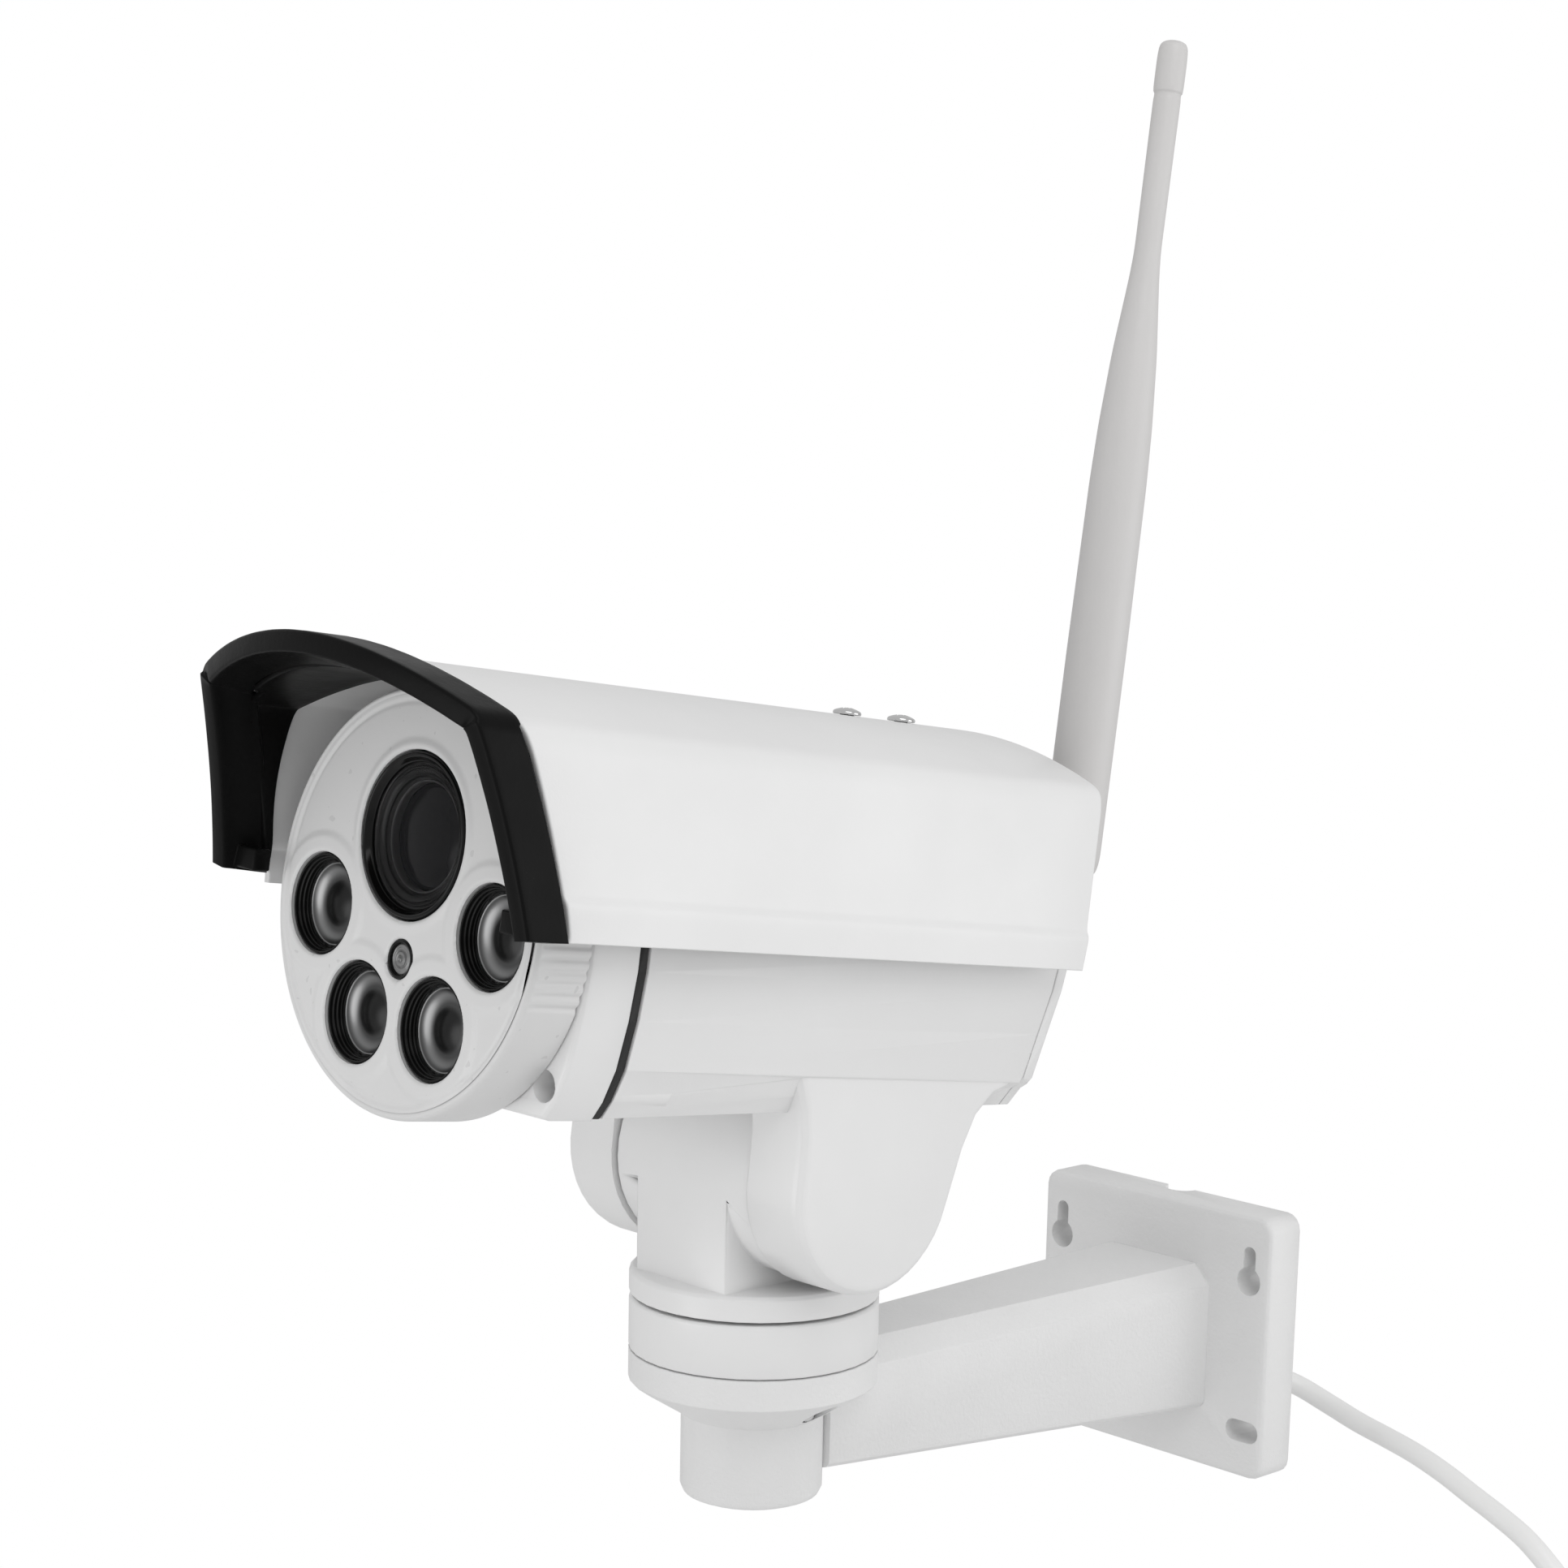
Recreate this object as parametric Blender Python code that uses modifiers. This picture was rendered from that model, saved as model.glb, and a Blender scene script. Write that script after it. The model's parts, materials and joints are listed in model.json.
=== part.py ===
# Outdoor pan and tilt camera on a cast wall arm, with a whip antenna and a cable tail.
# Metres, +Z up. The origin is the centre of the wall plate's back face, the wall is the
# plane Y = 0, and the camera looks along -Y.
import math

import bmesh
import bpy
from mathutils import Vector

# ---- driving dimensions -------------------------------------------------------------
GAP = 0.0003                      # clearance kept between touching pieces
PAN_Y = -0.150                    # pan axis, in front of the wall
TILT_Z = 0.063                    # tilt axis, above the plate's centre
TILT_REST = math.radians(7.8)     # the camera looks up by this much at rest
HEAD_Y = 0.105                    # tilt axis behind the front face, along the head
HEAD_Z = -0.052                   # tilt axis below the bezel's centre
SMOOTH = math.radians(32)
OFF_CENTRE = 0.00013              # keeps a cutter's edges off those of the piece it cuts

PLATE_HALF_X = 0.0374
PLATE_HALF_Z = 0.0337
PLATE_T = 0.0113
SCREW_X = 0.031                   # wall screw slots
SCREW_Z = (0.0205, -0.0216)
ARM_TOP = 0.0185
ARM_END_Y = -0.138
ARM_HALF_X = (0.013, 0.019)       # at the socket, at the plate
ARM_BOTTOM = (-0.0090, -0.0190)

NECK_R = 0.0282                   # cup, pan base and neck disc
SOCKET_R = 0.0162
SOCKET_BOTTOM = -0.0145
CONE_Z = (0.0050, 0.0123)
CUP_TOP = 0.0198
BASE_Z = (CUP_TOP + GAP, 0.0321)
DISC_Z = (0.0329, 0.0385)
SPIGOT_R = 0.0105
SHAFT_R = 0.0056
CABLE_Z = -0.0210                 # cable gland below the plate's centre

GEAR_MODULE = 0.0006
PINION_TEETH = 12
PAN_TEETH = 54
TILT_TEETH = 28
PINION_R = GEAR_MODULE * PINION_TEETH / 2
PAN_GEAR_R = GEAR_MODULE * PAN_TEETH / 2
TILT_GEAR_R = GEAR_MODULE * TILT_TEETH / 2
MOTOR_R = 0.0065

DRUM_R = 0.0227
DRUM_HALF = 0.0217
EAR_IN = 0.0223
EAR_OUT = 0.0385
EAR_R = 0.0235

BEZEL_R = 0.0432
BEZEL_DEPTH = 0.0139
FLANGE_Y = (0.0142, 0.0265)
GASKET_Y = (0.0268, 0.0290)
HOUSING_FRONT = 0.0293
HOUSING_REAR = 0.1493
WALL = 0.0025
BELLY_RISE = 0.030                # the underside climbs by this much per metre of length
LENS_Z = 0.0136
LENS_HOLE_R = 0.0171
LAMP_HOLE_R = 0.0106
LAMP_R = 0.0102
LAMPS = ((-0.0280, -0.0032), (-0.0124, -0.0235), (0.0124, -0.0235), (0.0280, -0.0032))
SENSOR_Z = -0.0111
FLANGE_SCREWS = ((-0.0326, -0.0312), (0.0326, -0.0312), (-0.0355, 0.0300), (0.0355, 0.0300))

SHIELD_REAR = 0.1485
SHIELD_T = 0.0018
VISOR_T = 0.0030
SHIELD_CROWN = 0.0480
VISOR_ROLL = math.radians(1.7)     # the visor is fitted with a slight twist
SHIELD_SCREW_Y = (0.1162, 0.1335)
ANTENNA_X = 0.0224
ANTENNA_Z = 0.0095
ANTENNA_Y = 0.1715
ANTENNA_LENGTH = 0.1966

CABLE_D = 0.0055
COIL_R = 0.0303                   # middle of the coil's turns
COIL_CENTRE = Vector((0.0817, 0.0350, -0.1080))
COIL_BAND = (0.0029, 0.0086)       # half the ring of turns: along a radius, along its axis
TAIL_X = (-0.0090, 0.0065)        # network tail and power tail, from the splitter's middle
NETWORK_TAIL_D = 0.0044
POWER_TAIL_D = 0.0036

# ---- collections, empties and materials ---------------------------------------------
for old in list(bpy.data.objects):
    bpy.data.objects.remove(old, do_unlink=True)

parts = bpy.data.collections.new("security_camera")
cutters = bpy.data.collections.new("cutters")
bpy.context.scene.collection.children.link(parts)
bpy.context.scene.collection.children.link(cutters)


def material(name, colour, roughness, metallic=0.0):
    made = bpy.data.materials.new(name)
    made.use_nodes = True
    shader = made.node_tree.nodes["Principled BSDF"]
    shader.inputs["Base Color"].default_value = (*colour, 1.0)
    shader.inputs["Roughness"].default_value = roughness
    shader.inputs["Metallic"].default_value = metallic
    return made


WHITE = material("white_paint", (0.80, 0.80, 0.79), 0.45)
CAST = material("white_cast_paint", (0.78, 0.78, 0.77), 0.55)
BLACK = material("black_plastic", (0.02, 0.02, 0.02), 0.40)
RUBBER = material("black_rubber", (0.02, 0.02, 0.02), 0.70)
GLASS = material("dark_glass", (0.01, 0.01, 0.012), 0.05)
STEEL = material("steel", (0.60, 0.60, 0.60), 0.30, 1.0)
REFLECTOR = material("lamp_reflector", (0.50, 0.50, 0.50), 0.15, 1.0)
BOARD = material("circuit_board", (0.03, 0.16, 0.07), 0.55)
BRASS = material("brass", (0.60, 0.45, 0.20), 0.30, 1.0)
GEAR = material("gear_plastic", (0.75, 0.74, 0.68), 0.50)
ANTENNA = material("antenna_plastic", (0.70, 0.69, 0.68), 0.45)
CABLE = material("white_cable", (0.78, 0.78, 0.77), 0.50)


def empty(name, location, parent=None, tilt=0.0):
    made = bpy.data.objects.new(name, None)
    parts.objects.link(made)
    made.parent = parent
    made.location = location
    made.rotation_euler = (tilt, 0.0, 0.0)
    return made


pan_axis = empty("pan_axis", (0, PAN_Y, 0))
tilt_axis = empty("tilt_axis", (0, 0, TILT_Z), pan_axis, -TILT_REST)
head = empty("head_frame", (0, -HEAD_Y, -HEAD_Z), tilt_axis)
antenna_hinge = empty("antenna_hinge", (ANTENNA_X, ANTENNA_Y, ANTENNA_Z), head)


# ---- making shapes ------------------------------------------------------------------
def add(name, mesh, finish=None, parent=None, location=(0, 0, 0)):
    """Links a mesh as a part, or as a cutter when it has no material."""
    made = bpy.data.objects.new(name, mesh)
    made.location = location
    made.parent = parent
    if finish:
        mesh.materials.append(finish)
        parts.objects.link(made)
    else:
        made.hide_render = True
        made.display_type = "WIRE"
        cutters.objects.link(made)
    return made


def mesh_from(bm, name):
    bmesh.ops.recalc_face_normals(bm, faces=bm.faces)
    mesh = bpy.data.meshes.new(name)
    bm.to_mesh(mesh)
    bm.free()
    mesh.shade_smooth()
    mesh.set_sharp_from_angle(angle=SMOOTH)
    return mesh


def block(name, size, centre, finish=None, parent=None, bevel=0.0):
    bm = bmesh.new()
    bmesh.ops.create_cube(bm, size=1.0)
    bmesh.ops.scale(bm, vec=size, verts=bm.verts)
    if bevel:
        bmesh.ops.bevel(bm, geom=bm.edges[:], offset=bevel, segments=2, affect="EDGES", profile=0.5)
    return add(name, mesh_from(bm, name), finish, parent, centre)


AXES = {"Z": (0, 0, 0), "X": (0, math.pi / 2, 0), "Y": (-math.pi / 2, 0, 0)}


def turned(name, profile, finish=None, parent=None, location=(0, 0, 0), axis="Z", steps=24):
    """Turns (radius, height) points about an axis. Points run down the outer side, and a
    profile that doesn't start on the axis is a closed ring."""
    mesh = bpy.data.meshes.new(name)
    count = len(profile)
    edges = [(i, i + 1) for i in range(count - 1)]
    if profile[0][0] > 0:
        edges.append((count - 1, 0))
    mesh.from_pydata([(r, 0, z) for r, z in profile], edges, [])
    made = add(name, mesh, finish, parent, location)
    made.rotation_euler = AXES[axis]
    screw = made.modifiers.new("turn", "SCREW")
    screw.steps = steps
    screw.render_steps = steps
    screw.use_merge_vertices = True
    screw.merge_threshold = 0.00001
    screw.use_smooth_shade = True
    return made


def cylinder(name, radius, low, high, finish=None, parent=None, location=(0, 0, 0), axis="Z",
             steps=24, chamfer=0.0):
    profile = [(0, high), (radius - chamfer, high)]
    if chamfer:
        profile += [(radius, high - chamfer), (radius, low + chamfer)]
    else:
        profile[-1] = (radius, high)
    profile += [(radius - chamfer, low), (0, low)]
    return turned(name, profile, finish, parent, location, axis, steps)


def ring(name, outer, inner, low, high, finish=None, parent=None, location=(0, 0, 0), axis="Z",
         steps=24, chamfer=0.0):
    if not chamfer:
        profile = [(inner, high), (outer, high), (outer, low), (inner, low)]
    else:
        profile = [(inner, high), (outer - chamfer, high), (outer, high - chamfer),
                   (outer, low + chamfer), (outer - chamfer, low), (inner, low)]
    return turned(name, profile, finish, parent, location, axis, steps)


PLANES = {"XZ": lambda u, v, w: (u, w, v), "YZ": lambda u, v, w: (w, u, v),
          "XY": lambda u, v, w: (u, v, w)}


def prism(name, outline, low, high, plane, finish=None, parent=None, location=(0, 0, 0),
          round_face=None, radius=0.0):
    """Extrudes a flat outline from low to high across its plane. Where round_face is given,
    the edges of the face at that height are rounded."""
    place = PLANES[plane]
    bm = bmesh.new()
    face = bm.faces.new([bm.verts.new(place(u, v, low)) for u, v in outline])
    side = bmesh.ops.extrude_face_region(bm, geom=[face])["geom"]
    shift = Vector(place(0, 0, high - low))
    bmesh.ops.translate(bm, vec=shift, verts=[g for g in side if isinstance(g, bmesh.types.BMVert)])
    bmesh.ops.recalc_face_normals(bm, faces=bm.faces)
    if round_face is not None:
        across = {"XZ": 1, "YZ": 0, "XY": 2}[plane]
        edges = [e for e in bm.edges if all(abs(v.co[across] - round_face) < 1e-6 for v in e.verts)]
        bmesh.ops.bevel(bm, geom=edges, offset=radius, segments=3, affect="EDGES", profile=0.5)
    return add(name, mesh_from(bm, name), finish, parent, location)


def arc(centre, radius, start, end, steps):
    """Points on an arc, with its angles in degrees."""
    angles = [math.radians(start + (end - start) * i / steps) for i in range(steps + 1)]
    return [(centre[0] + radius * math.cos(a), centre[1] + radius * math.sin(a)) for a in angles]


def rounded(corners, steps=4):
    """A closed outline through (x, y, radius) corners, each turned with its own radius."""
    points = []
    count = len(corners)
    for i, (x, y, radius) in enumerate(corners):
        corner = Vector((x, y))
        if not radius:
            points.append((x, y))
            continue
        before = (Vector(corners[i - 1][:2]) - corner).normalized()
        after = (Vector(corners[(i + 1) % count][:2]) - corner).normalized()
        half = before.angle(after) / 2
        reach = radius / math.tan(half)
        first = corner + before * reach
        last = corner + after * reach
        middle = corner + (before + after).normalized() * (radius / math.sin(half))
        sweep = (first - middle).angle_signed(last - middle)
        for k in range(steps + 1):
            offset = (first - middle).copy()
            turn = -sweep * k / steps
            c, s = math.cos(turn), math.sin(turn)
            points.append((middle.x + c * offset.x - s * offset.y, middle.y + s * offset.x + c * offset.y))
    return points


def mirrored(half):
    """Closes the right half of an outline, bottom to top, with its left half."""
    return half + [(-x, *rest) for x, *rest in reversed(half)]


def boolean(target, tools, operation):
    for tool in tools:
        step = target.modifiers.new(operation.lower(), "BOOLEAN")
        step.operation = operation
        step.solver = "EXACT"
        step.object = tool


def cut(target, *tools):
    boolean(target, tools, "DIFFERENCE")


def join(target, *tools):
    boolean(target, tools, "UNION")


def gear_outline(teeth, pitch, sign=1, turn=0.0):
    """Straight-sided teeth. The sign is 1 for teeth that point out and -1 for a cutter of
    teeth that point in."""
    tip = pitch + 0.75 * GEAR_MODULE * (1 if sign > 0 else 1.25)
    root = pitch - GEAR_MODULE * (1.15 if sign > 0 else 0.75)
    width = 0.40 if sign > 0 else 0.60
    step = 2 * math.pi / teeth
    points = []
    for i in range(teeth):
        for part, radius in ((-width * 0.62, root), (-width * 0.38, tip), (width * 0.38, tip),
                             (width * 0.62, root)):
            angle = turn + step * (i + part)
            points.append((radius * math.cos(angle), radius * math.sin(angle)))
    return points


# ---- wall bracket -------------------------------------------------------------------
def wall_bracket():
    corners = [(-PLATE_HALF_X, -PLATE_HALF_Z, 0.004), (PLATE_HALF_X, -PLATE_HALF_Z, 0.004),
               (PLATE_HALF_X, PLATE_HALF_Z, 0.004), (-PLATE_HALF_X, PLATE_HALF_Z, 0.004)]
    body = prism("wall_bracket", rounded(corners), 0, -PLATE_T, "XZ", CAST, round_face=-PLATE_T,
                 radius=0.0016)
    bm = bmesh.new()
    bmesh.ops.create_cube(bm, size=2.0)
    for vert in bm.verts:
        near = 0 if vert.co.y < 0 else 1
        y = ARM_END_Y if near == 0 else -PLATE_T / 2
        z = ARM_TOP if vert.co.z > 0 else ARM_BOTTOM[near]
        vert.co = (vert.co.x * ARM_HALF_X[near], y, z)
    long_edges = [e for e in bm.edges if abs(e.verts[0].co.y - e.verts[1].co.y) > 0.05]
    top = [e for e in long_edges if e.verts[0].co.z > 0]
    bottom = [e for e in long_edges if e.verts[0].co.z <= 0]
    bmesh.ops.bevel(bm, geom=top, offset=0.0050, segments=1, affect="EDGES")
    bmesh.ops.bevel(bm, geom=bottom, offset=0.0025, segments=3, affect="EDGES", profile=0.5)
    arm = add("arm_form", mesh_from(bm, "arm_form"))
    profile = [(0, -0.009), (SPIGOT_R + GAP, -0.009), (SPIGOT_R + GAP, CUP_TOP), (NECK_R, CUP_TOP),
               (NECK_R, CONE_Z[1] + 0.0006), (NECK_R - 0.0008, CONE_Z[1] - 0.0002),
               (SOCKET_R, CONE_Z[0]), (SOCKET_R, SOCKET_BOTTOM + 0.0022),
               (SOCKET_R - 0.0007, SOCKET_BOTTOM + 0.0007), (SOCKET_R - 0.0024, SOCKET_BOTTOM),
               (0, SOCKET_BOTTOM)]
    socket = turned("socket_form", profile, location=(0, PAN_Y, 0), steps=36)
    join(body, arm, socket)
    way = cylinder("arm_cable_way", 0.0036, 0, 0.146, location=(OFF_CENTRE, PAN_Y, 0), axis="Y", steps=14)
    way.rotation_euler = (-math.pi / 2 - math.atan2(0.010, 0.146), 0, 0)
    channel = block("gland_channel", (0.0096, 0.018, 0.022), (0, 0.001, CABLE_Z + 0.006))
    set_holes = cylinder("set_screw_holes", 0.0029, -0.04, 0.04, location=(0, PAN_Y, 0.0088), axis="X",
                         steps=20)
    notch = cylinder("cable_notch", 0.0045, 0.0240, 0.0400, location=(-0.0008, 0.0004, 0), steps=20)
    cut(body, way, channel, set_holes, notch)
    for side in (-1, 1):
        wide_place = (side * SCREW_X, 0, SCREW_Z[0] - 0.0033)
        wide = cylinder("keyhole_wide", 0.0036, -0.02, 0.01, location=wide_place, axis="Y", steps=20)
        slot = rounded([(-0.0018, -0.0020, 0.0017), (0.0018, -0.0020, 0.0017),
                        (0.0018, 0.0055, 0.0017), (-0.0018, 0.0055, 0.0017)])
        narrow = prism("keyhole_slot", slot, -0.02, 0.01, "XZ", location=(side * SCREW_X, 0, SCREW_Z[0]))
        low = rounded([(-0.0050, -0.0027, 0.0026), (0.0050, -0.0027, 0.0026),
                       (0.0050, 0.0027, 0.0026), (-0.0050, 0.0027, 0.0026)])
        lower = prism("lower_slot", low, -0.02, 0.01, "XZ", location=(side * SCREW_X, 0, SCREW_Z[1]))
        cut(body, wide, narrow, lower)


def set_screws():
    for side, word in ((1, "right"), (-1, "left")):
        profile = [(0, 0.0160), (0.0013, 0.0160), (0.0013, 0.0184), (0.0025, 0.0184), (0.0025, 0.0110),
                   (0, 0.0110)]
        if side < 0:
            profile = [(r, -z) for r, z in reversed(profile)]
        turned("set_screw_" + word, profile, STEEL, location=(0, PAN_Y, 0.0088), axis="X", steps=16)


# ---- fixed pan base -----------------------------------------------------------------
def pan_base():
    profile = [(0.0208, BASE_Z[1]), (NECK_R - 0.0006, BASE_Z[1]), (NECK_R, BASE_Z[1] - 0.0006),
               (NECK_R, BASE_Z[0]), (SPIGOT_R, BASE_Z[0]), (SPIGOT_R, -0.004), (0.0080, -0.004),
               (0.0080, 0.0226), (0.0208, 0.0226)]
    turned("pan_base", profile, WHITE, location=(0, PAN_Y, 0), steps=36)
    ring("pan_bearing", 0.0098, SHAFT_R + GAP, 0.0229, 0.0260, STEEL, location=(0, PAN_Y, 0), steps=20)
    outer = cylinder("pan_ring_gear", 0.0205, 0.0265, 0.0312, GEAR, location=(0, PAN_Y, 0), steps=36)
    teeth = prism("ring_teeth", gear_outline(PAN_TEETH, PAN_GEAR_R, -1, -math.pi / 2), 0.02, 0.04, "XY",
                  location=(0, PAN_Y, 0))
    cut(outer, teeth)


# ---- turning neck -------------------------------------------------------------------
def neck():
    body = turned("neck_housing", [(0, DISC_Z[1]), (NECK_R - 0.0008, DISC_Z[1]),
                                   (NECK_R, DISC_Z[1] - 0.0008), (NECK_R, DISC_Z[0]), (0, DISC_Z[0])],
                  WHITE, pan_axis, steps=36)
    drum = cylinder("drum_form", DRUM_R, -DRUM_HALF, DRUM_HALF, None, pan_axis, (0, 0, TILT_Z), "X", 36,
                    0.0005)
    pillar = block("pillar_form", (0.030, 2 * DRUM_R - 0.0004, 0.028), (0, 0, 0.0495), None, pan_axis,
                   0.0008)
    join(body, drum, pillar)
    hollow = cylinder("drum_hollow", 0.0202, -0.0192, 0.0192, None, pan_axis, (0, 0, TILT_Z), "X", 24)
    well = block("pillar_hollow", (0.025, 0.039, 0.030), (0, 0, 0.051), None, pan_axis)
    bore = cylinder("shaft_bore", SHAFT_R + GAP, 0.02, 0.04, None, pan_axis)
    pinion_hole = cylinder("pinion_hole", 0.0036, 0.02, 0.04, None, pan_axis,
                           (0, PINION_R - PAN_GEAR_R, 0), steps=20)
    sides = cylinder("bush_bores", 0.0050, -0.03, 0.03, None, pan_axis, (0, 0, TILT_Z), "X", 24)
    cut(body, hollow, well, bore, pinion_hole, sides)
    profile = [(0.0042, 0.0378), (0.0085, 0.0378), (0.0085, 0.0363), (SHAFT_R, 0.0363),
               (SHAFT_R, 0.0215), (0.0042, 0.0215)]
    turned("pan_shaft", profile, STEEL, pan_axis, steps=16)
    pan_motor_y = PINION_R - PAN_GEAR_R
    ring("pan_motor", MOTOR_R, 0.0012, 0.0383, 0.0520, STEEL, pan_axis, (0, pan_motor_y, 0), steps=16,
         chamfer=0.0006)
    ring("tilt_motor", MOTOR_R, 0.0012, -0.0130, 0.0090, STEEL, pan_axis,
         (0, 0, TILT_Z + TILT_GEAR_R + PINION_R), "X", 16, 0.0006)
    for side, word in ((1, "right"), (-1, "left")):
        low, high = sorted((side * 0.0175, side * (DRUM_HALF - 0.0002)))
        ring("tilt_bush_" + word, 0.0047, 0.0033, low, high, BRASS, pan_axis, (0, 0, TILT_Z), "X", 24)


def pinion(name, location, axis, low, high, turn, shaft_end):
    """A toothed wheel and its motor shaft, turned together about their own axis."""
    wheel = prism(name, gear_outline(PINION_TEETH, PINION_R, 1, turn), low, high, "XY", BRASS, pan_axis,
                  location)
    wheel.rotation_euler = AXES[axis]
    start, end = sorted((shaft_end, (low + high) / 2))
    shaft = cylinder(name + "_shaft", 0.0009, start, end, None, pan_axis, location, axis, 12)
    join(wheel, shaft)


def drive_wheels():
    half_tooth = math.pi / PINION_TEETH
    pinion("pan_pinion", (0, PINION_R - PAN_GEAR_R, 0), "Z", 0.0270, 0.0310, -math.pi / 2, 0.0450)
    pinion("tilt_pinion", (0, 0, TILT_Z + TILT_GEAR_R + PINION_R), "X", 0.0125, 0.0165, half_tooth,
           -0.0050)
    teeth = gear_outline(TILT_TEETH, TILT_GEAR_R, 1, TILT_REST)
    wheel = prism("tilt_gear", teeth, 0.0125, 0.0165, "XY", GEAR, head, (0, HEAD_Y, HEAD_Z))
    wheel.rotation_euler = AXES["X"]
    bore = cylinder("tilt_gear_bore", 0.0033, 0.01, 0.02, None, head, (0, HEAD_Y, HEAD_Z), "X", 24)
    cut(wheel, bore)
    cylinder("tilt_shaft", 0.0030, -0.0360, 0.0360, STEEL, head, (0, HEAD_Y, HEAD_Z), "X", 24, 0.0004)


# ---- camera head, in the head's own frame: Y back from the face, Z up ----------------
def housing_half(inset=0.0, bottom=-0.0380, top=0.0415):
    """Right half of the body's section, bottom to top, drawn in by the inset."""
    side = [(0.0333, bottom + inset), (0.0362, -0.0338), (0.0391, -0.0270), (0.0412, -0.0170),
            (0.0423, -0.0070), (0.0423, 0.0010), (0.0413, 0.0310), (0.0330, top - 0.0015 - inset)]
    return [(x - inset, z, 0) for x, z in side]


def housing_outline(inset=0.0):
    return rounded(mirrored(housing_half(inset)))


def rear_profile(offset):
    """Side view of the rear: upright, then slanting in below the middle."""
    start = HOUSING_REAR + offset
    return [(start, 0.06), (start, -0.0020), (start - 0.0028, -0.0170), (start - 0.0042, -0.0390),
            (start - 0.0042, -0.06)]


def lift_belly(made):
    """Raises the underside more and more towards the rear."""
    for vert in made.data.vertices:
        if vert.co.z < -0.0320:
            vert.co.z += BELLY_RISE * (vert.co.y - FLANGE_Y[0])


def camera_housing():
    body = prism("camera_housing", housing_outline(), HOUSING_FRONT, 0.175, "XZ", WHITE, head)
    inside = prism("housing_inside", housing_outline(WALL), 0.0, 0.20, "XZ", None, head)
    lift_belly(body)
    lift_belly(inside)
    behind = prism("housing_rear_cut", rear_profile(0.0) + [(0.20, -0.06), (0.20, 0.06)], -0.06, 0.06, "YZ",
                   None, head)
    cut(body, inside, behind)
    arch = cylinder("drum_arch", EAR_R + 0.0028, -EAR_IN - 0.002, EAR_IN + 0.002, None, head,
                    (0, HEAD_Y, HEAD_Z), "X", 30)
    below = block("arch_trim", (0.10, 0.08, 0.06), (0, HEAD_Y, -0.0646), None, head)
    cut(arch, below)
    join(body, arch)
    flank = [(0.0238, -0.0015), (0.0262, 0.0085), (0.0292, 0.0160), (0.0335, 0.0205), (0.0400, 0.0230),
             (0.0400, 0.0280), (-0.0300, 0.0280), (-0.0272, 0.0225), (-0.0250, 0.0170), (-0.0238, 0.0110)]
    outline = arc((HEAD_Y, HEAD_Z), EAR_R, 176, 350, 20)
    outline += [(HEAD_Y + y, HEAD_Z + z) for y, z in flank]
    for side, word in ((1, "right"), (-1, "left")):
        ear = prism("ear_" + word, outline, side * EAR_IN, side * EAR_OUT, "YZ", None, head,
                    round_face=side * EAR_OUT, radius=0.0026)
        join(body, ear)
    pocket = cylinder("drum_pocket", EAR_R + 0.0004, -EAR_IN, EAR_IN, None, head, (0, HEAD_Y, HEAD_Z), "X",
                      30)
    shaft = cylinder("shaft_seat", 0.0033, -0.0363, 0.0363, None, head, (0, HEAD_Y, HEAD_Z), "X", 24)
    for x, z in FLANGE_SCREWS:
        boss = cylinder("screw_boss", 0.0042, HOUSING_FRONT, 0.0440, None, head, (x, 0, z), "Y", 20)
        join(body, boss)
    cut(body, pocket, shaft)
    for x, z in FLANGE_SCREWS:
        hole = cylinder("screw_pilot", 0.0018, 0.02, 0.0390, None, head, (x, 0, z), "Y", 12)
        cut(body, hole)


def rear_cover():
    body = prism("rear_cover", housing_outline(), 0.12, 0.175, "XZ", WHITE, head)
    lift_belly(body)
    shape = rear_profile(GAP) + list(reversed(rear_profile(0.0032)))
    plate = prism("rear_cover_form", shape, -0.06, 0.06, "YZ", None, head)
    boolean(body, [plate], "INTERSECT")
    hole = cylinder("antenna_hole", 0.0035, 0.14, 0.18, None, head, (ANTENNA_X, 0, ANTENNA_Z), "Y", 20)
    cut(body, hole)


def front_flange():
    body = prism("front_flange", housing_outline(), FLANGE_Y[0], FLANGE_Y[1], "XZ", WHITE, head,
                 round_face=FLANGE_Y[0], radius=0.0016)
    middle = cylinder("flange_opening", 0.0355, 0, 0.04, None, head, (0, 0, 0), "Y", 30)
    cut(body, middle)
    gasket = prism("front_gasket", housing_outline(0.0003), GASKET_Y[0], GASKET_Y[1], "XZ", RUBBER, head)
    window = cylinder("gasket_opening", 0.0350, 0, 0.04, None, head, (0, 0, 0), "Y", 30)
    cut(gasket, window)
    for i, (x, z) in enumerate(FLANGE_SCREWS, 1):
        counterbore = cylinder("screw_counterbore", 0.0033, 0.0, 0.0220, None, head, (x, 0, z), "Y", 20)
        hole = cylinder("screw_hole", 0.0018, 0.0, 0.034, None, head, (x, 0, z), "Y", 16)
        cut(body, counterbore, hole)
        cut(gasket, hole)
        profile = [(0, 0.0370), (0.0015, 0.0370), (0.0015, 0.0217), (0.0027, 0.0217), (0.0027, 0.0200),
                   (0.0020, 0.0192), (0.0010, 0.0192), (0.0010, 0.0205), (0, 0.0205)]
        turned("flange_screw_" + str(i), profile, STEEL, head, (x, 0, z), "Y", 12)


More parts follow.
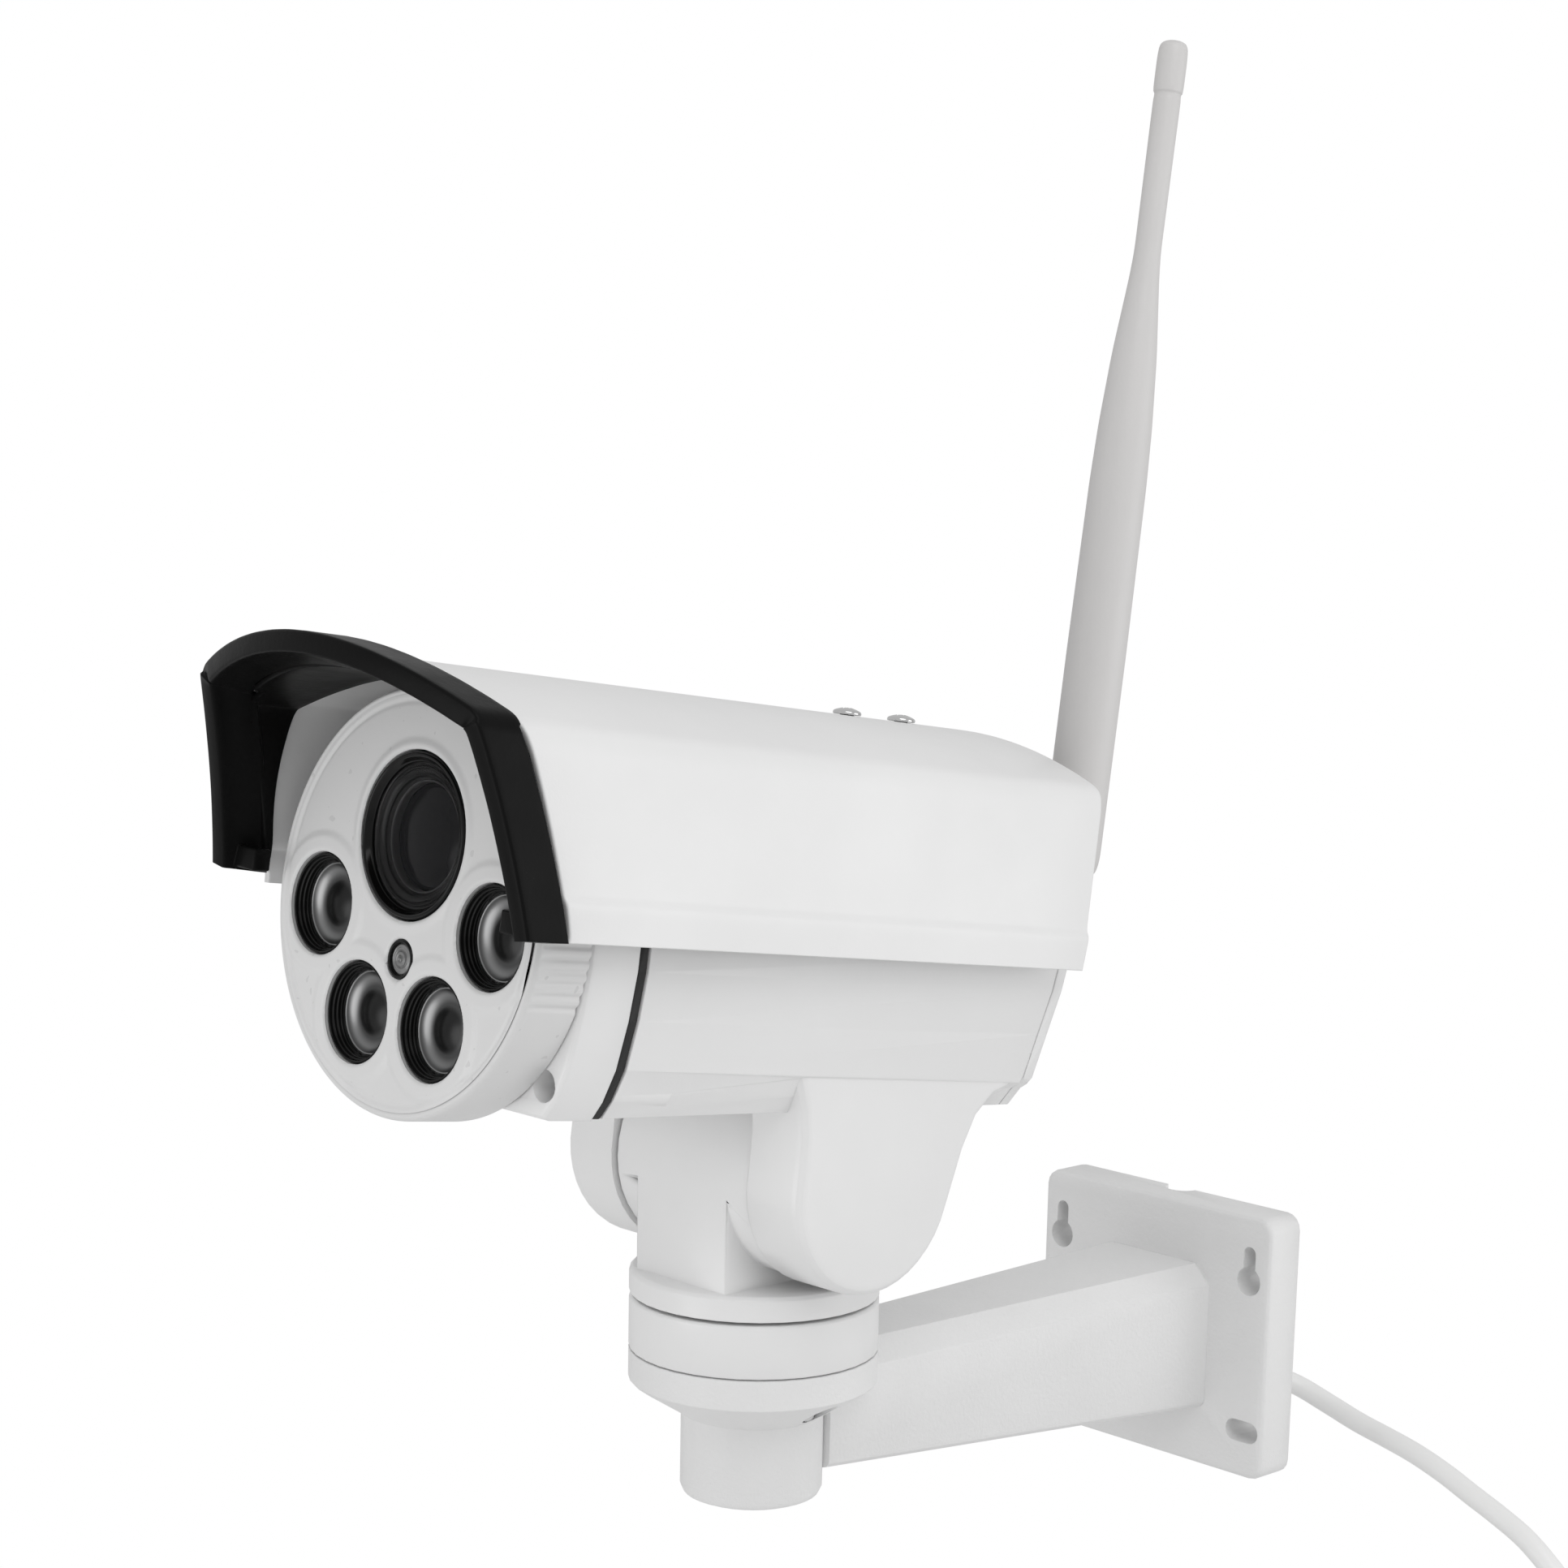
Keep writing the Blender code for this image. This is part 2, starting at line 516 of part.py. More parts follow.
def bezel():
    profile = [(0, 0.0026), (0.0395, 0.0026), (0.0395, BEZEL_DEPTH), (BEZEL_R, BEZEL_DEPTH),
               (BEZEL_R, 0.0016), (BEZEL_R - 0.0005, 0.0005), (BEZEL_R - 0.0016, 0), (0, 0)]
    body = turned("front_bezel", profile, WHITE, head, axis="Y", steps=48)
    holes = [(0, LENS_Z, LENS_HOLE_R, 36), (0, SENSOR_Z, 0.0041, 16)]
    holes += [(x, z, LAMP_HOLE_R, 24) for x, z in LAMPS]
    for x, z, radius, steps in holes:
        cut(body, cylinder("bezel_hole", radius, -0.01, 0.01, None, head, (x, 0, z), "Y", steps))


def optics():
    ring("lens_trim", LENS_HOLE_R - GAP, 0.0120, 0.0014, 0.0040, BLACK, head, (0, 0, LENS_Z), "Y", 32)
    cylinder("lens_window", LENS_HOLE_R - GAP, 0.0043, 0.0063, GLASS, head, (0, 0, LENS_Z), "Y", 24)
    ring("lens_barrel", 0.0150, 0.0112, 0.0080, 0.0600, BLACK, head, (0, 0, LENS_Z), "Y", 24, 0.0008)
    profile = [(0, 0.0130), (0.0109, 0.0130), (0.0109, 0.0095), (0.0080, 0.0087), (0.0040, 0.0082),
               (0, 0.0080)]
    turned("front_element", profile, GLASS, head, (0, 0, LENS_Z), "Y", 24)
    profile = [(0, 0.0400), (0.0109, 0.0400), (0.0109, 0.0260), (0.0075, 0.0250), (0, 0.0242)]
    turned("focus_group", profile, GLASS, head, (0, 0, LENS_Z), "Y", 24)
    block("sensor_board", (0.034, 0.0016, 0.034), (0, 0.0612, LENS_Z), BOARD, head)
    profile = [(0, 0.0108), (0.0038, 0.0108), (0.0038, 0.0014), (0.0032, 0.0012), (0.0018, 0.0006),
               (0, 0.0005)]
    turned("light_sensor", profile, GLASS, head, (0, 0, SENSOR_Z), "Y", 24)


def lamps():
    profile = [(0, 0.0110), (LAMP_R, 0.0110), (LAMP_R, 0.0016), (0.0093, 0.0016), (0.0086, 0.0030),
               (0.0070, 0.0060), (0.0052, 0.0078), (0.0042, 0.0070), (0.0037, 0.0052), (0.0022, 0.0040),
               (0, 0.0036)]
    for i, (x, z) in enumerate(LAMPS, 1):
        turned("ir_lamp_" + str(i), profile, REFLECTOR, head, (x, 0, z), "Y", 20)
    board = cylinder("lamp_board", 0.0388, 0.0113, 0.0127, BOARD, head, (0, 0, 0), "Y", 30)
    cut(board, cylinder("lens_opening", 0.0155, 0.0, 0.03, None, head, (0, 0, LENS_Z), "Y", 32))
    block("main_board", (0.060, 0.062, 0.0016), (0, 0.100, 0.0080), BOARD, head)


def roof_line(crown, drop, half_width):
    """Points of the roof's arch from its side to its crown, on a parabola."""
    shares = (1.0, 0.80, 0.57, 0.30, 0)
    return [(share * half_width, crown - drop * share ** 2) for share in shares]


def shield_section():
    """Right half of the sunshield's outer section, from its lower edge to the crown."""
    side = [(0.0506, -0.0014), (0.0506, 0.0062), (0.0495, 0.0070), (0.0466, 0.0340), (0.0455, 0.0374)]
    return side + roof_line(SHIELD_CROWN, 0.0090, 0.0435)


def visor_section():
    side = [(0.0530, 0.0002), (0.0518, 0.0080), (0.0488, 0.0260), (0.0470, 0.0355), (0.0462, 0.0390)]
    return side + roof_line(SHIELD_CROWN + 0.0028, 0.0096, 0.0446)


def leaning_edge(x, z, low, high, crown):
    """Y of a front or rear edge: from low to high up the side, then on to the crown."""
    corner_z = 0.0392
    if z < corner_z:
        share = max(z, 0) / corner_z
        return low + (high - low) * (0.70 * share + 0.30 * share ** 2)
    return crown + (high - crown) * (x / 0.0446) ** 2


def visor_front(x, z):
    return leaning_edge(x, z, -0.0094, -0.0223, -0.0300)


def visor_back(x, z):
    return leaning_edge(x, z, 0.0008, -0.0119, -0.0195)


def shield_back(x, z):
    return SHIELD_REAR + 0.115 * min(z, 0.0380)


def canopy(name, section, front, back, thickness, finish):
    """A bent sheet: the section's edge chain drawn back from one end line to the other."""
    full = section + [(-x, z) for x, z in reversed(section[:-1])]
    bm = bmesh.new()
    chain = [bm.verts.new((x, front(x, z), z)) for x, z in full]
    edges = [bm.edges.new(pair) for pair in zip(chain, chain[1:])]
    drawn = bmesh.ops.extrude_edge_only(bm, edges=edges)["geom"]
    for vert in (g for g in drawn if isinstance(g, bmesh.types.BMVert)):
        vert.co.y = back(vert.co.x, vert.co.z)
    bmesh.ops.recalc_face_normals(bm, faces=bm.faces)
    outward = sum(f.normal.z for f in bm.faces if f.calc_center_median().z > 0.042)
    if outward < 0:
        bmesh.ops.reverse_faces(bm, faces=bm.faces)
    mesh = bpy.data.meshes.new(name)
    bm.to_mesh(mesh)
    bm.free()
    mesh.shade_smooth()
    mesh.set_sharp_from_angle(angle=math.radians(25))
    made = add(name, mesh, finish, head)
    solid = made.modifiers.new("sheet", "SOLIDIFY")
    solid.thickness = thickness
    solid.offset = -1.0
    solid.use_even_offset = True
    return made


def sunshield():
    shield = canopy("sunshield", shield_section(), lambda x, z: visor_back(x, z) + 3 * GAP, shield_back,
                    SHIELD_T, WHITE)
    visor = canopy("visor", visor_section(), visor_front, visor_back, VISOR_T, BLACK)
    for side in (-1, 1):
        place = (side * 0.0462, -0.0053, 0.0032)
        join(visor, block("visor_hook", (0.0100, 0.0040, 0.0060), place, None, visor))
    visor.rotation_euler = (0, VISOR_ROLL, 0)
    visor.location = (-math.sin(VISOR_ROLL) * 0.045, 0, (1 - math.cos(VISOR_ROLL)) * 0.045)
    for y, word in zip(SHIELD_SCREW_Y, ("front", "rear")):
        hole = cylinder("shield_screw_hole", 0.0018, 0.04, 0.055, None, head, (0, y, 0), steps=16)
        cut(shield, hole)
        seat = SHIELD_CROWN + GAP / 3
        profile = [(0, seat + 0.0016), (0.0016, seat + 0.0014), (0.0029, seat + 0.0008), (0.0032, seat),
                   (0.0015, seat), (0.0015, seat - 0.0048), (0, seat - 0.0048)]
        turned("shield_screw_" + word, profile, STEEL, head, (0, y, 0), steps=20)


# ---- antenna ------------------------------------------------------------------------
def antenna():
    y = HOUSING_REAR
    profile = [(0, y + 0.0120), (0.0031, y + 0.0120), (0.0031, y + 0.0070), (0.0048, y + 0.0070),
               (0.0048, y + 0.0036), (0.0031, y + 0.0036), (0.0031, y - 0.0080), (0, y - 0.0080)]
    turned("antenna_socket", profile, BRASS, head, (ANTENNA_X, 0, ANTENNA_Z), "Y", 20)
    sleeve_y = y + 0.0074 - ANTENNA_Y
    sleeve = turned("antenna_sleeve", [(0, 0.0030), (0.0052, 0.0030), (0.0052, sleeve_y), (0.0034, sleeve_y),
                                       (0.0034, -0.0061), (0, -0.0061)], ANTENNA, antenna_hinge,
                    axis="Y", steps=18)
    slot = block("hinge_slot", (0.0062, 0.0126, 0.0200), (0, 0.0009, 0), None, antenna_hinge)
    pin = cylinder("hinge_pin_form", 0.0016, -0.0040, 0.0040, None, antenna_hinge, (0, 0, 0), "X", 16)
    cut(sleeve, slot)
    join(sleeve, pin)
    half = ANTENNA_LENGTH
    whip = turned("antenna_whip", [(0, half), (0.0024, half - 0.0004), (0.0034, half - 0.0022),
                                   (0.0034, half - 0.0100), (0.0030, half - 0.0104),
                                   (0.0030, half - 0.0112), (0.0031, half - 0.0130),
                                   (0.0030, 0.1500), (0.0034, 0.1440), (0.0051, 0.1270), (0.0061, 0.1110),
                                   (0.0065, 0.0980), (0.0068, 0.0600), (0.0068, 0.0120),
                                   (0.0058, 0.0085), (0, 0.0085)],
                  ANTENNA, antenna_hinge, steps=20)
    tongue = block("whip_tongue", (0.0055, 0.0070, 0.0150), (0, 0, 0.0042), None, antenna_hinge)
    hole = cylinder("tongue_hole", 0.0019, -0.01, 0.01, None, antenna_hinge, (0, 0, 0), "X", 16)
    join(whip, tongue)
    cut(whip, hole)


# ---- cable --------------------------------------------------------------------------
ROUTE = ((0.0, 0.0207, -0.0210), (0.0, 0.0280, -0.0210), (0.0012, 0.0345, -0.0218),
         (0.0085, 0.0405, -0.0250), (0.0180, 0.0425, -0.0285), (0.0280, 0.0420, -0.0309),
         (0.0380, 0.0410, -0.0324), (0.0480, 0.0400, -0.0341), (0.0580, 0.0390, -0.0367),
         (0.0670, 0.0380, -0.0397), (0.0760, 0.0370, -0.0426), (0.0850, 0.0360, -0.0461),
         (0.0935, 0.0352, -0.0515), (0.1015, 0.0350, -0.0585), (0.1078, 0.0350, -0.0667),
         (0.1110, 0.0350, -0.0753), (0.1120, 0.0350, -0.0841))


def smooth_route(points, spacing):
    """Points at an even spacing on the Catmull-Rom curve through the given ones."""
    knots = [Vector(p) for p in points]
    knots = [2 * knots[0] - knots[1]] + knots + [2 * knots[-1] - knots[-2]]
    fine = []
    for a, b, c, d in zip(knots, knots[1:], knots[2:], knots[3:]):
        for k in range(24):
            t = k / 24
            fine.append(0.5 * (2 * b + (c - a) * t + (2 * a - 5 * b + 4 * c - d) * t ** 2
                               + (3 * b - a - 3 * c + d) * t ** 3))
    fine.append(knots[-2])
    total = sum((q - p).length for p, q in zip(fine, fine[1:]))
    count = max(2, round(total / spacing))
    step = total / count
    route = [fine[0]]
    walked = 0.0
    for p, q in zip(fine, fine[1:]):
        length = (q - p).length
        while len(route) < count and walked + length >= step * len(route):
            route.append(p.lerp(q, (step * len(route) - walked) / length))
        walked += length
    route.append(fine[-1])
    return route


def tube(name, points, diameter, finish, spacing):
    route = smooth_route(points, spacing)
    curve = bpy.data.curves.new(name, "CURVE")
    curve.dimensions = "3D"
    curve.bevel_depth = diameter / 2
    curve.bevel_resolution = 2
    curve.render_resolution_u = 0
    curve.use_fill_caps = True
    spline = curve.splines.new("POLY")
    spline.points.add(len(route) - 1)
    for point, place in zip(spline.points, route):
        point.co = (*place, 1.0)
    curve.materials.append(finish)
    made = bpy.data.objects.new(name, curve)
    parts.objects.link(made)
    return made


def cable():
    turned("cable_gland", [(0, 0.0200), (0.0034, 0.0200), (0.0045, 0.0), (0.0045, -0.0074), (0, -0.0074)],
           RUBBER, location=(0, 0, CABLE_Z), axis="Y", steps=24)
    tube("cable", ROUTE, CABLE_D, CABLE, 0.012)
    thick, wide = COIL_BAND
    ring("cable_coil", COIL_R + thick, COIL_R - thick, -wide, wide, CABLE, location=COIL_CENTRE, axis="Y",
         steps=28, chamfer=0.0015)
    x, y, z = COIL_CENTRE
    x += COIL_R
    top = z - 0.0364
    block("cable_splitter", (0.014, 0.009, 0.026), (x, y, top - 0.013), CABLE, bevel=0.0015)
    low = top - 0.026 - GAP
    for side, shift, name, diameter, drop in ((-1, TAIL_X[0], "network", NETWORK_TAIL_D, 0.042),
                                              (1, TAIL_X[1], "power", POWER_TAIL_D, 0.036)):
        start = (x + side * 0.0035, y, low)
        end = (x + shift, y, low - drop)
        middle = [(start[0] + side * 0.0005, y, low - 0.25 * drop),
                  ((start[0] + end[0]) / 2, y, low - 0.5 * drop),
                  (end[0] - side * 0.0004, y, low - 0.78 * drop)]
        tube(name + "_tail", [start, *middle, end], diameter, CABLE, 0.0085)
    net_top = low - 0.042 - GAP
    jack_top = low - 0.036 - GAP
    socket = block("network_socket", (0.0165, 0.0150, 0.0300), (x + TAIL_X[0], y, net_top - 0.0150), BLACK,
                   bevel=0.0012)
    opening = block("network_opening", (0.0118, 0.0068, 0.0160), (x + TAIL_X[0], y, net_top - 0.0300))
    cut(socket, opening)
    jack_profile = [(0, 0.0), (0.0024, 0.0), (0.0048, -0.0080), (0.0050, -0.0280), (0.0030, -0.0280),
                    (0.0030, -0.0170), (0.0011, -0.0170), (0.0011, -0.0265), (0, -0.0265)]
    turned("power_jack", jack_profile, BLACK, location=(x + TAIL_X[1], y, jack_top), steps=16)


wall_bracket()
set_screws()
pan_base()
neck()
drive_wheels()
camera_housing()
rear_cover()
front_flange()
bezel()
optics()
lamps()
sunshield()
antenna()
cable()
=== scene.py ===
import json
import math

import bmesh
import bpy
import numpy as np
from mathutils import Matrix, Vector

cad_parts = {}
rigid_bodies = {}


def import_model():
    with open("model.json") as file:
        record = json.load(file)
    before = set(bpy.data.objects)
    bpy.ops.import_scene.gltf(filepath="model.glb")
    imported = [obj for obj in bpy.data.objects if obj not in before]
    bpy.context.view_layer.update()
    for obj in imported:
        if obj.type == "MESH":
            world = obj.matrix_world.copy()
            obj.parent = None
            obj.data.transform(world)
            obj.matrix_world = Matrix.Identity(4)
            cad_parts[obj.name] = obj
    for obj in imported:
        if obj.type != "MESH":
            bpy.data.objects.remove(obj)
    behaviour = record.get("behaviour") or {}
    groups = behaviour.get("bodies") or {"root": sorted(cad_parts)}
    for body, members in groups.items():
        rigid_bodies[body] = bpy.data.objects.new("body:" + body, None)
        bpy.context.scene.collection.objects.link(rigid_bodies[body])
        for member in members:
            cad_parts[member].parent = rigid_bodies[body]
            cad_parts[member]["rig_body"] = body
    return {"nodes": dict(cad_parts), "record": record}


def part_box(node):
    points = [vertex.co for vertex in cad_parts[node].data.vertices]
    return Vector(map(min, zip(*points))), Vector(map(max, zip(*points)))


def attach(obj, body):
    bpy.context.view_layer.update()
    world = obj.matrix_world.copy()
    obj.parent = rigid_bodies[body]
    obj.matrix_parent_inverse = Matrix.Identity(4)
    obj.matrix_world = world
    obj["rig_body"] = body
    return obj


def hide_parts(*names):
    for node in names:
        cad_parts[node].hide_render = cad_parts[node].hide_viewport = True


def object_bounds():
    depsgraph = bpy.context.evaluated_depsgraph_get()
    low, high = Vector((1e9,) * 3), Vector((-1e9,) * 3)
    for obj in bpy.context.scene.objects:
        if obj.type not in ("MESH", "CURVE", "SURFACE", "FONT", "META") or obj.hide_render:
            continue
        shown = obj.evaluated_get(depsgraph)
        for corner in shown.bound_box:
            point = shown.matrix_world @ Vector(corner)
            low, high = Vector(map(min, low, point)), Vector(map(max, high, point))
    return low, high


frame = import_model()
cadBounds = [list(corner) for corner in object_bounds()]
print("frame loaded")

# the view
cameraView = {
    "place": (0.5002, -0.6142, 0.2208),
    "azimuth": 46.666,
    "elevation": 11.13,
    "roll": 1.119,
    "lens": 72.07,
    "shiftY": 0.173,
}


def makeCamera():
    turn, rise, roll = (math.radians(cameraView[k]) for k in ("azimuth", "elevation", "roll"))
    back = Vector((math.sin(turn) * math.cos(rise), -math.cos(turn) * math.cos(rise), math.sin(rise)))
    right = Vector((0, 0, 1)).cross(back).normalized()
    up = back.cross(right)
    rolledRight = math.cos(roll) * right + math.sin(roll) * up
    rolledUp = math.cos(roll) * up - math.sin(roll) * right
    data = bpy.data.cameras.new("viewCamera")
    data.sensor_width = 36
    data.lens = cameraView["lens"]
    data.shift_y = cameraView["shiftY"]
    camera = bpy.data.objects.new("viewCamera", data)
    place = Matrix((rolledRight, rolledUp, back)).transposed().to_4x4()
    place.translation = cameraView["place"]
    camera.matrix_world = place
    bpy.context.scene.collection.objects.link(camera)
    bpy.context.scene.camera = camera


makeCamera()


# materials, from groups that several finishes share
def newGroup(name, inputs, outputs):
    tree = bpy.data.node_groups.new(name, "ShaderNodeTree")
    for label, kind, value in inputs:
        made = tree.interface.new_socket(name=label, in_out="INPUT", socket_type=kind)
        if value is not None:
            made.default_value = value
    for label, kind in outputs:
        tree.interface.new_socket(name=label, in_out="OUTPUT", socket_type=kind)
    return tree, tree.nodes.new("NodeGroupInput"), tree.nodes.new("NodeGroupOutput")


def noiseNode(tree, scale, detail=3.0, roughness=0.55):
    coordinates = tree.nodes.new("ShaderNodeTexCoord")
    noise = tree.nodes.new("ShaderNodeTexNoise")
    noise.inputs["Scale"].default_value = scale
    noise.inputs["Detail"].default_value = detail
    noise.inputs["Roughness"].default_value = roughness
    tree.links.new(coordinates.outputs["Object"], noise.inputs["Vector"])
    return noise


def rangeNode(tree, source, low, high, start, end):
    made = tree.nodes.new("ShaderNodeMapRange")
    for label, value in (("From Min", low), ("From Max", high), ("To Min", start), ("To Max", end)):
        if isinstance(value, (int, float)):
            made.inputs[label].default_value = value
        else:
            tree.links.new(value, made.inputs[label])
    tree.links.new(source, made.inputs["Value"])
    return made.outputs["Result"]


def mixColour(tree, factor, first, second, blend="MIX"):
    made = tree.nodes.new("ShaderNodeMix")
    made.data_type = "RGBA"
    made.blend_type = blend
    for socket, value in ((made.inputs[0], factor), (made.inputs[6], first), (made.inputs[7], second)):
        if isinstance(value, (int, float)):
            socket.default_value = value
        elif isinstance(value, tuple):
            socket.default_value = (*value, 1.0)
        else:
            tree.links.new(value, socket)
    return made.outputs[2]


def makeToneGroup():
    # colour times a slow drift, with rare small dark specks
    tree, start, end = newGroup("toneDrift", [("Color", "NodeSocketColor", (0.8, 0.8, 0.8, 1.0)),
                                              ("Amount", "NodeSocketFloat", 0.05),
                                              ("Specks", "NodeSocketFloat", 0.0)],
                                [("Color", "NodeSocketColor")])
    slow = noiseNode(tree, 28.0, 4.0)
    shade = rangeNode(tree, slow.outputs["Fac"], 0.3, 0.7, 0.0, 1.0)
    low = tree.nodes.new("ShaderNodeMath")
    low.operation = "SUBTRACT"
    low.inputs[0].default_value = 1.0
    tree.links.new(start.outputs["Amount"], low.inputs[1])
    level = rangeNode(tree, shade, 0.0, 1.0, low.outputs[0], 1.0)
    drift = mixColour(tree, 1.0, start.outputs["Color"], level, "MULTIPLY")
    fine = noiseNode(tree, 640.0, 0.0, 0.4)
    speck = rangeNode(tree, fine.outputs["Fac"], 0.80, 0.82, 0.0, 1.0)
    weight = tree.nodes.new("ShaderNodeMath")
    weight.operation = "MULTIPLY"
    tree.links.new(speck, weight.inputs[0])
    tree.links.new(start.outputs["Specks"], weight.inputs[1])
    tree.links.new(mixColour(tree, weight.outputs[0], drift, (0.12, 0.12, 0.12)), end.inputs["Color"])
    return tree


def makeGrainGroup():
    # rounded edges first, then the bump of a fine grain on top of them
    tree, start, end = newGroup("softGrain", [("Scale", "NodeSocketFloat", 900.0),
                                              ("Strength", "NodeSocketFloat", 0.1),
                                              ("Edge", "NodeSocketFloat", 0.0005)],
                                [("Normal", "NodeSocketVector")])
    edges = tree.nodes.new("ShaderNodeBevel")
    edges.samples = 4
    tree.links.new(start.outputs["Edge"], edges.inputs["Radius"])
    noise = noiseNode(tree, 900.0, 2.0)
    tree.links.new(start.outputs["Scale"], noise.inputs["Scale"])
    bump = tree.nodes.new("ShaderNodeBump")
    bump.inputs["Distance"].default_value = 0.0004
    tree.links.new(start.outputs["Strength"], bump.inputs["Strength"])
    tree.links.new(noise.outputs["Fac"], bump.inputs["Height"])
    tree.links.new(edges.outputs["Normal"], bump.inputs["Normal"])
    tree.links.new(bump.outputs["Normal"], end.inputs["Normal"])
    return tree


def makeWearGroup():
    # roughness that drifts between two levels
    tree, start, end = newGroup("roughDrift", [("Low", "NodeSocketFloat", 0.3),
                                               ("High", "NodeSocketFloat", 0.5)],
                                [("Roughness", "NodeSocketFloat")])
    noise = noiseNode(tree, 60.0, 5.0)
    result = rangeNode(tree, noise.outputs["Fac"], 0.3, 0.7, start.outputs["Low"], start.outputs["High"])
    tree.links.new(result, end.inputs["Roughness"])
    return tree


toneGroup = makeToneGroup()
grainGroup = makeGrainGroup()
wearGroup = makeWearGroup()


def addGroup(tree, group, values):
    made = tree.nodes.new("ShaderNodeGroup")
    made.node_tree = group
    for label, value in values.items():
        made.inputs[label].default_value = value
    return made


def makeFinish(name, colour, low, high, metallic=0.0, drift=0.05, specks=0.0, grain=900.0, bump=0.08,
               edge=0.0004, specular=0.5, alpha=1.0):
    made = bpy.data.materials.new(name)
    made.use_nodes = True
    tree = made.node_tree
    shader = tree.nodes["Principled BSDF"]
    shader.inputs["Metallic"].default_value = metallic
    shader.inputs["Specular IOR Level"].default_value = specular
    shader.inputs["Alpha"].default_value = alpha
    tone = addGroup(tree, toneGroup, {"Color": (*colour, 1.0), "Amount": drift, "Specks": specks})
    rough = addGroup(tree, wearGroup, {"Low": low, "High": high})
    normal = addGroup(tree, grainGroup, {"Scale": grain, "Strength": bump, "Edge": edge})
    tree.links.new(tone.outputs["Color"], shader.inputs["Base Color"])
    tree.links.new(rough.outputs["Roughness"], shader.inputs["Roughness"])
    tree.links.new(normal.outputs["Normal"], shader.inputs["Normal"])
    return made


finishes = {
    "paint": makeFinish("whitePaint", (0.80, 0.80, 0.80), 0.30, 0.42, drift=0.03, grain=1400, bump=0.05),
    "face": makeFinish("facePaint", (0.70, 0.70, 0.70), 0.36, 0.48, drift=0.03, specks=0.15, grain=1300,
                       bump=0.06),
    "cast": makeFinish("castPaint", (0.78, 0.78, 0.78), 0.40, 0.55, drift=0.04, grain=1000, bump=0.30),
    "black": makeFinish("blackMoulding", (0.006, 0.006, 0.006), 0.26, 0.40, drift=0.25, grain=700, bump=0.10,
                        specular=0.06),
    "gloss": makeFinish("glossBlack", (0.005, 0.005, 0.005), 0.10, 0.18, drift=0.2, bump=0.0, edge=0.0,
                        specular=0.20),
    "rubber": makeFinish("blackRubber", (0.012, 0.012, 0.012), 0.55, 0.75, drift=0.2, grain=1500, bump=0.2),
    "glass": makeFinish("coatedGlass", (0.004, 0.004, 0.005), 0.04, 0.08, drift=0.1, bump=0.0, edge=0.0,
                        specular=0.10),
    "window": makeFinish("windowGlass", (0.02, 0.02, 0.022), 0.02, 0.04, drift=0.1, bump=0.0, edge=0.0,
                         alpha=0.08),
    "rim": makeFinish("innerRim", (0.05, 0.05, 0.05), 0.30, 0.40, drift=0.2, bump=0.02, edge=0.0001),
    "steel": makeFinish("turnedSteel", (0.55, 0.55, 0.55), 0.22, 0.36, metallic=1.0, drift=0.1, bump=0.05),
    "chrome": makeFinish("chromeHead", (0.72, 0.72, 0.72), 0.08, 0.16, metallic=1.0, drift=0.1, bump=0.02,
                         edge=0.0002),
    "brass": makeFinish("turnedBrass", (0.60, 0.44, 0.20), 0.22, 0.34, metallic=1.0, drift=0.1, bump=0.05),
    "gear": makeFinish("gearPlastic", (0.72, 0.71, 0.66), 0.40, 0.50),
    "board": makeFinish("circuitBoard", (0.02, 0.12, 0.05), 0.35, 0.50, drift=0.2),
    "antenna": makeFinish("antennaPlastic", (0.62, 0.61, 0.605), 0.42, 0.52, drift=0.03, grain=1100,
                          bump=0.06),
    "cable": makeFinish("cableJacket", (0.88, 0.88, 0.875), 0.36, 0.48, drift=0.04, grain=800, bump=0.06),
    "tie": makeFinish("tieStrap", (0.02, 0.02, 0.02), 0.5, 0.65, drift=0.2, grain=1200, bump=0.3),
    "gold": makeFinish("contactGold", (0.75, 0.55, 0.22), 0.20, 0.30, metallic=1.0, drift=0.05, bump=0.02),
}
print("materials made")


# tools that make shapes, and the head's own axes
joints = {joint["name"]: joint for joint in frame["record"]["behaviour"]["joints"]}
headBack = np.array(joints["focus"]["axis"])
headSide = np.array((1.0, 0.0, 0.0))
headUp = np.cross(headSide, headBack)
tiltFromFace = {"back": 0.105, "up": -0.052}
headFace = (np.array(joints["tilt"]["pos_m"]) - tiltFromFace["back"] * headBack
            - tiltFromFace["up"] * headUp)


def toWorld(points):
    return headFace + np.asarray(points, float) @ np.array((headSide, headBack, headUp))


def gridFaces(rows, columns, closeRows=False, closeColumns=False, start=0):
    i, j = np.meshgrid(np.arange(rows if closeRows else rows - 1),
                       np.arange(columns if closeColumns else columns - 1), indexing="ij")
    i, j = i.ravel(), j.ravel()
    k, m = (i + 1) % rows, (j + 1) % columns
    return start + np.stack((i * columns + j, i * columns + m, k * columns + m, k * columns + j), axis=1)


